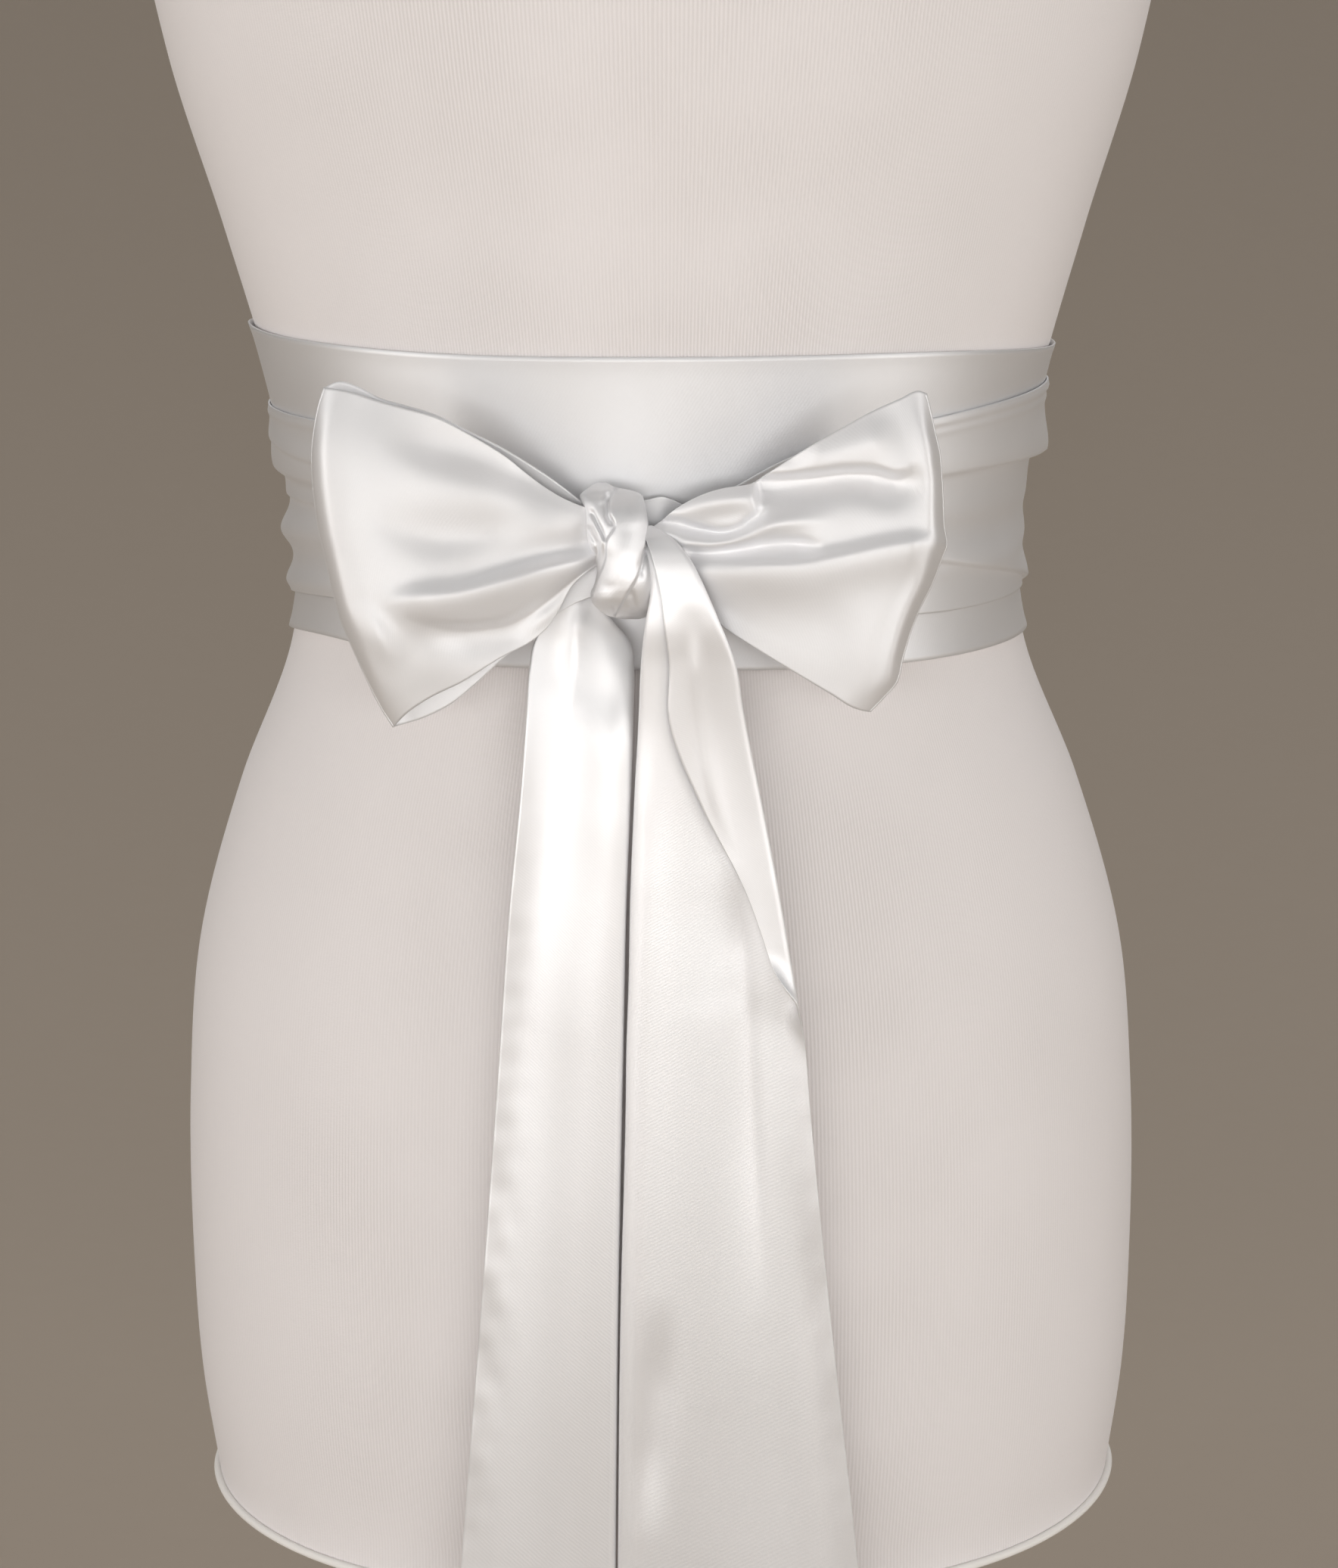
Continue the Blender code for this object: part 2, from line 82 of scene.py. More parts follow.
def creaseField(x, z, creases):
    # Height of the listed creases. Each is a line through points in X and Z. A point takes the bell of its
    # distance from the line, exp(-(distance / width)^2), with one width on the line's left and another on
    # its right, faded towards the line's ends. Positive heights stand out towards the front. The distance is
    # to the nearest of 81 points and the part of the line to half way on each side of it.
    field = np.zeros_like(x)
    shares = np.linspace(0, 1, 81)
    for crease in creases:
        line = alongLine(crease["line"], shares)
        heading = np.gradient(line, axis=0)
        half = np.linalg.norm(heading, axis=1) / 2
        heading /= 2 * half[:, None]
        apartX, apartZ = x[..., None] - line[:, 0], z[..., None] - line[:, 1]
        square = apartX ** 2 + apartZ ** 2
        near = np.argmin(square, axis=-1)
        pick = near[..., None]
        apartX, apartZ, square = [np.take_along_axis(field3, pick, -1)[..., 0] for field3 in (apartX, apartZ, square)]
        side = heading[near, 0] * apartZ - heading[near, 1] * apartX
        ahead = heading[near, 0] * apartX + heading[near, 1] * apartZ
        ahead = np.clip(ahead, np.where(near > 0, -half[near], 0), np.where(near < 80, half[near], 0))
        distance = np.sqrt(np.clip(square - ahead ** 2, 0, None))
        left, right = crease["widths"]
        width = left + (right - left) * ease(-side, -0.6, 0.6)
        fadeIn, fadeOut = crease["fade"]
        share = shares[near] + ahead / half[near] / 160
        fade = ease(share, -0.001, fadeIn + 1e-6) * ease(1 - share, -0.001, fadeOut + 1e-6)
        field += crease["rise"] * fade * np.exp(-(distance / width) ** 2)
    return field


def stepAcross(x, z, line, width):
    # 0 on the left of a line through points in X and Z, 1 on its right, with a step of that width at the line
    curve = alongLine(line, np.linspace(0, 1, 81))
    heading = np.gradient(curve, axis=0)
    heading /= np.linalg.norm(heading, axis=1, keepdims=True)
    apartX, apartZ = x[..., None] - curve[:, 0], z[..., None] - curve[:, 1]
    near = np.argmin(apartX ** 2 + apartZ ** 2, axis=-1)
    pick = near[..., None]
    side = heading[near, 0] * np.take_along_axis(apartZ, pick, -1)[..., 0]
    side -= heading[near, 1] * np.take_along_axis(apartX, pick, -1)[..., 0]
    return ease(-side, -width / 2, width / 2)


# Meshes

def putInScene(name, points, size, material, replaced=(), wall=0.0, ring=False, capped=False, upright=False):
    # A grid of points becomes a mesh, with a UV map in metres of cloth whose U runs along the sash's length:
    # along the columns, or along the rows of an upright piece. A ring joins its last column to its first,
    # and caps close its two ends. A wall gets its thickness from Solidify, half on each side.
    rows, columns = points.shape[:2]
    row, column = np.meshgrid(np.arange(rows - 1), np.arange(columns if ring else columns - 1), indexing="ij")
    cornerRow = np.stack([row, row, row + 1, row + 1], axis=-1).reshape(-1, 4)
    cornerColumn = np.stack([column, column + 1, column + 1, column], axis=-1).reshape(-1, 4)
    corners = (cornerRow * columns + cornerColumn % columns).ravel()
    counts = np.full(len(cornerRow), 4)
    cornerUV = np.stack([cornerColumn / max(columns - 1, 1) * size[0], cornerRow / (rows - 1) * size[1]], axis=-1)
    cornerUV = cornerUV.reshape(-1, 2)
    vertices = points.reshape(-1, 3)
    if capped:
        around = np.arange(columns)
        lowest, highest = rows * columns, rows * columns + 1
        follow = (around + 1) % columns
        last = (rows - 1) * columns
        low = np.stack([np.full(columns, lowest), follow, around], axis=-1)
        high = np.stack([np.full(columns, highest), last + around, last + follow], axis=-1)
        corners = np.concatenate([corners, low.ravel(), high.ravel()])
        counts = np.concatenate([counts, np.full(2 * columns, 3)])
        vertices = np.concatenate([vertices, points[0].mean(axis=0)[None], points[-1].mean(axis=0)[None]])
        flatUV = vertices[np.concatenate([low.ravel(), high.ravel()])][:, :2]
        cornerUV = np.concatenate([cornerUV, flatUV])
    starts = np.concatenate([[0], np.cumsum(counts)[:-1]])
    if ring and capped:
        # the body's volume tells whether its faces point out, and if not, each face is turned round
        a, b, c = vertices[corners[starts]], vertices[corners[starts + 1]], vertices[corners[starts + 2]]
        volume = np.einsum("ij,ij->i", a, np.cross(b, c)).sum()
        if volume < 0:
            order = np.concatenate([start + np.arange(count)[::-1] for start, count in zip(starts, counts)])
            corners, cornerUV = corners[order], cornerUV[order]
    if upright:
        cornerUV = cornerUV[:, ::-1]
    mesh = bpy.data.meshes.new(name)
    mesh.vertices.add(len(vertices))
    mesh.vertices.foreach_set("co", (vertices * millimetre).ravel())
    mesh.loops.add(len(corners))
    mesh.loops.foreach_set("vertex_index", corners)
    mesh.polygons.add(len(counts))
    mesh.polygons.foreach_set("loop_start", starts)
    mesh.polygons.foreach_set("loop_total", counts)
    mesh.update(calc_edges=True)
    layer = mesh.uv_layers.new(name="clothUV")
    layer.data.foreach_set("uv", (cornerUV * millimetre).ravel())
    mesh.validate()
    mesh.shade_smooth()
    mesh.materials.append(material)
    piece = bpy.data.objects.new(name, mesh)
    bpy.context.scene.collection.objects.link(piece)
    if wall:
        thick = piece.modifiers.new("wall", "SOLIDIFY")
        thick.thickness = wall * millimetre
        thick.offset = 0.0
    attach(piece, "root")
    if replaced:
        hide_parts(*replaced)
    print("built", name, len(counts), "faces")
    return piece


# Materials

def newMaterial(name, colour, roughness, metallic=0.0, sheen=0.0, specular=0.5):
    # a Principled shader with its constants on its own sockets
    material = bpy.data.materials.new(name)
    material.use_nodes = True
    shader = material.node_tree.nodes["Principled BSDF"]
    shader.inputs["Base Color"].default_value = (*colour, 1.0)
    shader.inputs["Roughness"].default_value = roughness
    shader.inputs["Metallic"].default_value = metallic
    shader.inputs["Sheen Weight"].default_value = sheen
    shader.inputs["Sheen Roughness"].default_value = 0.4
    shader.inputs["Specular IOR Level"].default_value = specular
    return material, shader


def addNode(material, kind, settings=None, **inputs):
    # a node with its settings, and each input either linked from another socket or set to a number
    node = material.node_tree.nodes.new(kind)
    for key, value in (settings or {}).items():
        setattr(node, key, value)
    for key, value in inputs.items():
        socket = node.inputs[int(key[1:])] if key[0] == "i" and key[1:].isdigit() else node.inputs[key]
        if isinstance(value, bpy.types.NodeSocket):
            material.node_tree.links.new(value, socket)
        else:
            socket.default_value = value
    return node


satinLook = {
    "colour": (0.86, 0.862, 0.875),
    "shade": (0.82, 0.82, 0.828),
    "roughness": 0.54,
    "metallic": 0.66,
    "anisotropy": 0.6,
    "weavePitch": 0.00045,
    "weaveDepth": 0.000008,
    "grainSize": 0.0010,
    "grainDepth": 0.000016,
}


def satinMaterial(look):
    material, shader = newMaterial("ivorySatin", look["colour"], look["roughness"], look["metallic"], sheen=0.05)
    tree = material.node_tree
    # The long floats of satin lie along its length, which is the U of each piece: the gloss is narrow along
    # them and wide across them, a quarter turn from the tangent.
    shader.inputs["Anisotropic"].default_value = look["anisotropy"]
    shader.inputs["Anisotropic Rotation"].default_value = 0.25
    along = addNode(material, "ShaderNodeTangent", {"direction_type": "UV_MAP", "uv_map": "clothUV"})
    tree.links.new(along.outputs["Tangent"], shader.inputs["Tangent"])
    place = addNode(material, "ShaderNodeTexCoord")
    # the weave runs slantwise over the cloth, as satin's floats do, in the piece's own UV
    slant = addNode(material, "ShaderNodeMapping", i0=place.outputs["UV"], i2=(0, 0, math.radians(28)))
    weave = addNode(material, "ShaderNodeTexWave", {"wave_type": "BANDS", "bands_direction": "X"},
                    Vector=slant.outputs[0], Scale=0.31416 / look["weavePitch"] / 2, Distortion=1.5, Detail=1.0)
    grain = addNode(material, "ShaderNodeTexNoise", Vector=place.outputs["Object"],
                    Scale=1 / look["grainSize"], Detail=3.0, Roughness=0.6)
    soft = addNode(material, "ShaderNodeTexNoise", Vector=place.outputs["Object"], Scale=28.0, Detail=2.0)
    tone = addNode(material, "ShaderNodeMix", {"data_type": "RGBA"})
    tone.inputs["A"].default_value = (*look["shade"], 1)
    tone.inputs["B"].default_value = (*look["colour"], 1)
    spread = addNode(material, "ShaderNodeMapRange", Value=soft.outputs["Fac"])
    spread.inputs["From Min"].default_value = 0.30
    spread.inputs["From Max"].default_value = 0.62
    spread.inputs["To Min"].default_value = 0.55
    tree.links.new(spread.outputs[0], tone.inputs["Factor"])
    colour = [socket for socket in tone.outputs if socket.type == "RGBA"][0]
    tree.links.new(colour, shader.inputs["Base Color"])
    gloss = addNode(material, "ShaderNodeMapRange", Value=grain.outputs["Fac"])
    gloss.inputs["To Min"].default_value = look["roughness"] - 0.05
    gloss.inputs["To Max"].default_value = look["roughness"] + 0.06
    tree.links.new(gloss.outputs[0], shader.inputs["Roughness"])
    fine = addNode(material, "ShaderNodeBump", Height=weave.outputs["Fac"], Distance=look["weaveDepth"])
    bump = addNode(material, "ShaderNodeBump", Height=grain.outputs["Fac"], Distance=look["grainDepth"],
                   Normal=fine.outputs[0])
    tree.links.new(bump.outputs[0], shader.inputs["Normal"])
    return material


jerseyLook = {
    "colour": (0.80, 0.768, 0.765),
    # painted shade: the darker colour laid into the rib grooves
    "paintedGrooveShade": (0.685, 0.65, 0.638),
    "roughness": 0.88,
    "ribs": 760,
    "ribDepth": 0.00012,
    "fuzzSize": 0.0009,
    "fuzzDepth": 0.00008,
}


def jerseyMaterial(look, roundSize):
    material, shader = newMaterial("creamJersey", look["colour"], look["roughness"], sheen=0.25, specular=0.2)
    tree = material.node_tree
    place = addNode(material, "ShaderNodeTexCoord")
    # upright ribs: a sine wave round the body, an even number of them in the whole round
    split = addNode(material, "ShaderNodeSeparateXYZ", Vector=place.outputs["UV"])
    turns = addNode(material, "ShaderNodeMath", {"operation": "MULTIPLY"}, i0=split.outputs["X"],
                    i1=2 * math.pi * look["ribs"] / roundSize)
    wave = addNode(material, "ShaderNodeMath", {"operation": "SINE"}, i0=turns.outputs[0])
    rib = addNode(material, "ShaderNodeMapRange", Value=wave.outputs[0])
    rib.inputs["From Min"].default_value = -1.0
    fuzz = addNode(material, "ShaderNodeTexNoise", Vector=place.outputs["Object"],
                   Scale=1 / look["fuzzSize"], Detail=3.0, Roughness=0.65)
    patchy = addNode(material, "ShaderNodeTexNoise", Vector=place.outputs["Object"], Scale=14.0, Detail=2.0)
    strength = addNode(material, "ShaderNodeMapRange", Value=patchy.outputs["Fac"])
    strength.inputs["From Min"].default_value = 0.35
    strength.inputs["From Max"].default_value = 0.65
    strength.inputs["To Min"].default_value = 0.35
    # the ribs show most on the front and the back, by the cube of the normal's part along Y; the darker groove colour
    # they carry is painted shade in the rib grooves, strongest where the surface faces front or back
    facing = addNode(material, "ShaderNodeSeparateXYZ", Vector=place.outputs["Normal"])
    size = addNode(material, "ShaderNodeMath", {"operation": "ABSOLUTE"}, i0=facing.outputs["Y"])
    cube = addNode(material, "ShaderNodeMath", {"operation": "POWER"}, i0=size.outputs[0], i1=3.0)
    fullness = addNode(material, "ShaderNodeMath", {"operation": "MULTIPLY"}, i0=cube.outputs[0],
                       i1=strength.outputs[0])
    share = addNode(material, "ShaderNodeMath", {"operation": "MULTIPLY"}, i0=rib.outputs[0],
                    i1=fullness.outputs[0])
    # painted shade: the rib wave mixes the darker groove colour into the cream
    tone = addNode(material, "ShaderNodeMix", {"data_type": "RGBA"})
    tone.inputs["A"].default_value = (*look["colour"], 1)
    tone.inputs["B"].default_value = (*look["paintedGrooveShade"], 1)
    tree.links.new(share.outputs[0], tone.inputs["Factor"])
    colour = [socket for socket in tone.outputs if socket.type == "RGBA"][0]
    tree.links.new(colour, shader.inputs["Base Color"])
    ribs = addNode(material, "ShaderNodeBump", {"invert": True}, Height=share.outputs[0], Distance=look["ribDepth"])
    bump = addNode(material, "ShaderNodeBump", Height=fuzz.outputs["Fac"], Distance=look["fuzzDepth"],
                   Normal=ribs.outputs[0])
    tree.links.new(bump.outputs[0], shader.inputs["Normal"])
    return material


def grainedMaterial(name, colour, roughness, grainSize, grainDepth, metallic=0.0):
    # an even finish with a fine noise in its height and its gloss
    material, shader = newMaterial(name, colour, roughness, metallic)
    place = addNode(material, "ShaderNodeTexCoord")
    grain = addNode(material, "ShaderNodeTexNoise", Vector=place.outputs["Object"], Scale=1 / grainSize,
                    Detail=3.0)
    gloss = addNode(material, "ShaderNodeMapRange", Value=grain.outputs["Fac"])
    gloss.inputs["To Min"].default_value = roughness - 0.07
    gloss.inputs["To Max"].default_value = roughness + 0.07
    bump = addNode(material, "ShaderNodeBump", Height=grain.outputs["Fac"], Distance=grainDepth)
    material.node_tree.links.new(gloss.outputs[0], shader.inputs["Roughness"])
    material.node_tree.links.new(bump.outputs[0], shader.inputs["Normal"])
    return material


formRound = 1000.0
satin = satinMaterial(satinLook)
jersey = jerseyMaterial(jerseyLook, formRound * millimetre)
piping = grainedMaterial("whitePiping", (0.84, 0.82, 0.79), 0.7, 0.0008, 0.00005)
enamel = grainedMaterial("greyEnamel", (0.60, 0.565, 0.52), 0.42, 0.0016, 0.00004)
print("materials made")


# Dress form

form = rowsOf(
    "height halfWidth front back",
    (150, 159.5, 112, 127),
    (185, 164.5, 116, 133),
    (235, 167.0, 119, 138),
    (290, 166.5, 119, 138),
    (345, 161.5, 116, 132),
    (400, 146.0, 110, 120),
    (449, 127.2, 101, 107),
    (490, 123.0, 98, 101),
    (530, 130.5, 101, 103),
    (590, 147.0, 110, 108),
    (650, 165.0, 123, 112),
    (690, 172.5, 128, 113),
    (750, 171.0, 118, 112),
    (800, 166.0, 98, 104),
    (830, 160.0, 78, 90),
    (850, 144.0, 65, 78),
    (866, 118.0, 56, 69),
    (880, 89.0, 52, 62),
    (895, 69.0, 52, 57),
    (915, 59.5, 53, 55),
    (945, 57.0, 54, 55),
)


def roundForm(turn, height, out):
    # A point that stands `out` off the form: an ellipse at that height, with a depth of its own before and
    # behind the side line, moved out along the ellipse's normal.
    half, front, back = [smoothThrough(form["height"], form[name], height) for name in ("halfWidth", "front", "back")]
    depth = np.where(np.cos(turn) > 0, front, back)
    across, along = np.sin(turn), -np.cos(turn)
    normal = np.stack([across / half, along / depth], axis=-1)
    normal /= np.linalg.norm(normal, axis=-1, keepdims=True)
    x = half * across + out * normal[..., 0]
    y = depth * along + out * normal[..., 1]
    return np.stack([x, y, height + 0 * out], axis=-1)


def hemDip(turn):
    # how far the lower edge dips below 150: 14 in front, eased to nothing behind the sides
    return 14 * ease(np.cos(turn), -0.25, 1.0)


turn, height = np.meshgrid(np.linspace(0, 2 * math.pi, 240, endpoint=False), np.linspace(150, 945, 240))
height -= hemDip(turn) * ease(-height, -270, -150)
putInScene("formTorso", roundForm(turn, height, 0 * height), (formRound, 795), jersey,
           replaced=["dress_form"], ring=True, capped=True)

rimPiping = {"height": 151.5, "radius": 1.5, "out": 0.6}


def pipingRing(rim):
    # a thin round cord laid along the form's lower edge: a circle carried round the form's outline
    around, turn = np.meshgrid(np.linspace(0, 2 * math.pi, 10, endpoint=False),
                               np.linspace(0, 2 * math.pi, 241), indexing="xy")
    height = rim["height"] + rim["radius"] * np.sin(around) - hemDip(turn)
    return roundForm(turn, np.full_like(turn, rim["height"]), rim["out"] + rim["radius"] * np.cos(around)) \
        + np.stack([0 * height, 0 * height, height - rim["height"]], axis=-1)


putInScene("rimPiping", pipingRing(rimPiping), (9, 1000), piping, ring=True)


# Stand

standProfiles = {
    "base": [(0.01, 0), (149.2, 0), (149.8, 0.4), (150, 1.2), (150, 8.6), (149.6, 10.2), (148.6, 11.3),
             (147, 11.9), (144, 12), (40, 12), (30, 12), (0.01, 12)],
    "pole": [(0.01, 12.3), (24, 12.3), (24, 17), (23, 19), (20, 20.5), (15.6, 21.5), (15, 23), (15, 80),
             (15, 140), (15, 149.2), (14.6, 149.7), (0.01, 149.7)],
}


def lathe(profile, columns):
    # a profile of radius and height carried round the Z axis
    radius, height = np.array(profile, dtype=float).T
    turn = np.linspace(0, 2 * math.pi, columns, endpoint=False)
    return np.stack([radius[:, None] * np.sin(turn), -radius[:, None] * np.cos(turn),
                     height[:, None] + 0 * turn], axis=-1)


for name, node, key, columns in (("standBase", "stand_base", "base", 180), ("standPole", "stand_pole", "pole", 64)):
    piece = putInScene(name, lathe(standProfiles[key], columns), (900, 300), enamel,
                       replaced=[node], ring=True, capped=True)
    piece.data.set_sharp_from_angle(angle=math.radians(35))


# First layer, flat across the front

frontEdges = rowsOf(
    "turn lower give",
    (-124, 453, 1.4),
    (-95, 453, 4.4),
    (-60, 456, -1.6),
    (-30, 452, -0.1),
    (0, 451.5, -0.1),
    (35, 450, 0.9),
    (90, 452.5, -4.1),
    (124, 453, -0.6),
)


def frontStretch(columns, rows):
    # An even strip between its two edges, just off the form. Long shallow waves run along it, and its two
    # sewn edges stand a little proud.
    degrees, share = np.meshgrid(np.linspace(-124, 124, columns), np.linspace(0, 1, rows))
    lower = smoothThrough(frontEdges["turn"], frontEdges["lower"], degrees)
    give = smoothThrough(frontEdges["turn"], frontEdges["give"], degrees)
    height = lower + (sashWidth + give) * share
    slack = 0.35 * np.sin(0.11 * degrees + 4.2 * share) * np.sin(math.pi * share)
    slack += 0.25 * np.sin(0.23 * degrees - 7.0 * share + 1.0) * np.sin(math.pi * share)
    lip = 0.35 * np.exp(-(share / 0.03) ** 2) + 0.35 * np.exp(-((1 - share) / 0.03) ** 2)
    return roundForm(np.radians(degrees), height, 1.0 + 0.35 + slack + lip)


piece = putInScene("sashFront", frontStretch(300, 64), (485, sashWidth), satin,
                   replaced=["sash_front"], wall=clothThickness)


# Back stretches, crossing

backPath = rowsOf(
    "turn lower upper foldRise",
    (124, 453, 554, 0.0),
    (138, 470, 557, 1.4),
    (150, 504, 559, 2.6),
    (162, 504, 558, 2.8),
    (180, 478, 532, 2.8),
    (198, 450, 502, 2.8),
    (210, 450, 502, 2.4),
    (222, 457, 522, 1.6),
    (236, 463, 535, 0.5),
)


def backStretch(columns, rows, hand, over):
    # The cloth comes off one side, gathers, crosses the middle of the back and goes on over the other side.
    # The strip that goes under changes its layer just past the crossing, the other one just before it.
    # Its gathers are waves across the strip that deepen where it is narrow. hand +1 starts at +X.
    degrees, share = np.meshgrid(np.linspace(124.25, 235.75, columns), np.linspace(0, 1, rows))
    path = {name: smoothThrough(backPath["turn"], backPath[name], degrees) for name in backPath}
    height = path["lower"] + (path["upper"] - path["lower"]) * share
    change = -24 if over else 24
    layer = ease(degrees - 180, change - 4, change + 4)
    wander = 0.25 * np.sin(0.045 * degrees + 2 * hand)
    folds = 0.5 - 0.5 * np.cos(2 * math.pi * 3 * (share + 0.10 * wander) + 0.6 * hand + 0.02 * degrees)
    folds = 0.78 * folds ** 1.4 + 0.22 * (0.5 - 0.5 * np.cos(2 * math.pi * 8 * share + 0.05 * degrees * hand))
    lift = 0.9 + layer * (1.5 + 3.2 * ease(path["foldRise"], 0.5, 2.4))
    return roundForm(hand * np.radians(degrees), height, lift + path["foldRise"] * folds * (0.4 + 0.6 * (1 - layer)))


for name, node, hand, over in (("sashBackUnder", "sash_back_under", 1, False),
                               ("sashBackOver", "sash_back_over", -1, True)):
    piece = putInScene(name, backStretch(180, 64, hand, over), (215, sashWidth), satin,
                       replaced=[node], wall=clothThickness)


# Second layer, round each side to the knot

wrapRight = {
    "path": rowsOf(
        "turn lower upper standOff",
        (-4.5, 490, 506.8, 7.0),
        (-1, 488.5, 507.8, 7.2),
        (1, 487.6, 508.6, 7.2),
        (2.6, 486.8, 507.4, 6.8),
        (4.4, 485.8, 505.4, 6.2),
        (6.5, 484.8, 505.6, 6.0),
        (10.0, 482.8, 509.8, 5.6),
        (18, 474, 519, 3.0),
        (32, 467, 527, 1.0),
        (46, 465.5, 531, 0.6),
        (66, 466, 535, 0.3),
        (90, 467, 538, 0.0),
        (124, 463, 535, 0.0),
    ),
    # each fold: its share of the height at 45 and at 95 degrees, its rise, its width above and below as
    # shares, the angle where it is fullest, how far it fades from there, and how much it leans down
    "folds": rowsOf(
        "low high rise above below fullest fade lean",
        (0.72, 0.72, 6.0, 0.12, 0.030, 97, 38, 0.75),
        (0.30, 0.02, 2.6, 0.12, 0.022, 76, 44, 0.6),
        (0.97, 0.97, 0.8, 0.018, 0.018, 80, 44, 0.0),
        (0.92, 0.92, 0.5, 0.018, 0.018, 80, 44, 0.0),
        (0.50, 0.46, 1.1, 0.10, 0.07, 60, 50, 0.3),
        (0.20, 0.30, 1.6, 0.09, 0.05, 95, 40, 0.3),
    ),
}
wrapLeft = {
    "path": rowsOf(
        "turn lower upper standOff",
        (10.0, 489, 507, 6.5),
        (17, 481, 511, 5.0),
        (26, 474, 517, 2.6),
        (38, 471, 523, 1.0),
        (52, 470, 528, 0.6),
        (70, 468.5, 530, 0.3),
        (90, 466, 531.5, 0.0),
        (124, 463, 535, 0.0),
    ),
    "folds": rowsOf(
        "low high rise above below fullest fade lean",
        (0.66, 0.72, 4.0, 0.15, 0.06, 93, 42, 0.5),
        (0.74, 0.88, 1.3, 0.07, 0.020, 76, 34, 0.4),
        (0.36, 0.34, 4.8, 0.09, 0.09, 95, 38, 0.2),
        (0.52, 0.54, 1.4, 0.07, 0.020, 72, 30, 0.4),
        (0.06, 0.07, 2.4, 0.07, 0.05, 92, 40, 0.2),
        (0.96, 0.96, 0.6, 0.02, 0.02, 80, 60, 0.0),
    ),
}


def secondLayer(wrap, columns, rows, hand):
    # The gathered stretch lies on the first layer. Each fold is a bell across the height that fades with the
    # angle from where it is fullest, and hangs down by a share of its own rise, so that a lip overhangs.
    # It eases out where the stretch goes on round the back.
    path, folds = wrap["path"], wrap["folds"]
    first, last = path["turn"][0], path["turn"][-1]
    degrees, share = np.meshgrid(first + (last - first) * np.linspace(0, 1, columns) ** 1.25,
                                 np.linspace(0, 1, rows))
    edge = {name: smoothThrough(path["turn"], path[name], degrees) for name in path}
    rise, droop = np.zeros_like(share), np.zeros_like(share)
    for low, high, height, above, below, fullest, fade, lean in zip(*folds.values()):
        place = low + (high - low) * np.clip((degrees - 45) / 50, -0.3, 1.3)
        apart = share - place
        bell = height * np.exp(-(apart / np.where(apart > 0, above, below)) ** 2)
        bell *= np.exp(-((degrees - fullest) / fade) ** 2) * ease(124 - degrees, 0, 18)
        rise += bell
        droop += lean * bell
    gather = 0.5 * np.sin(2 * math.pi * 5 * share + 0.03 * degrees) * ease(-degrees, -34, -20)
    gather *= ease(degrees, 5, 14)
    height = edge["lower"] + (edge["upper"] - edge["lower"]) * share - droop
    lift = 2.4 + edge["standOff"]
    return roundForm(hand * np.radians(degrees), height, lift + rise + gather)


for name, node, wrap, hand in (("sashWrapRight", "sash_wrap_right", wrapRight, 1),
                               ("sashWrapLeft", "sash_wrap_left", wrapLeft, -1)):
    piece = putInScene(name, secondLayer(wrap, 170, 112, hand), (250, sashWidth), satin,
                       replaced=[node], wall=clothThickness)


# Bow loops

# Outlines and creases are drawn in the upright plane y = -135, as they look from where the photographer
# stood, and each point then slides along its line of sight to its own depth.
eye = (3.7, -1437.75, 652.3)
drawnPlane = -135.0


def slideToDepth(x, z, y):
    # the point at depth y on the line from the eye through x, z in the drawn plane
    share = (y - eye[1]) / (drawnPlane - eye[1])
    return np.stack([eye[0] + (x - eye[0]) * share, y, eye[2] + (z - eye[2]) * share], axis=-1)


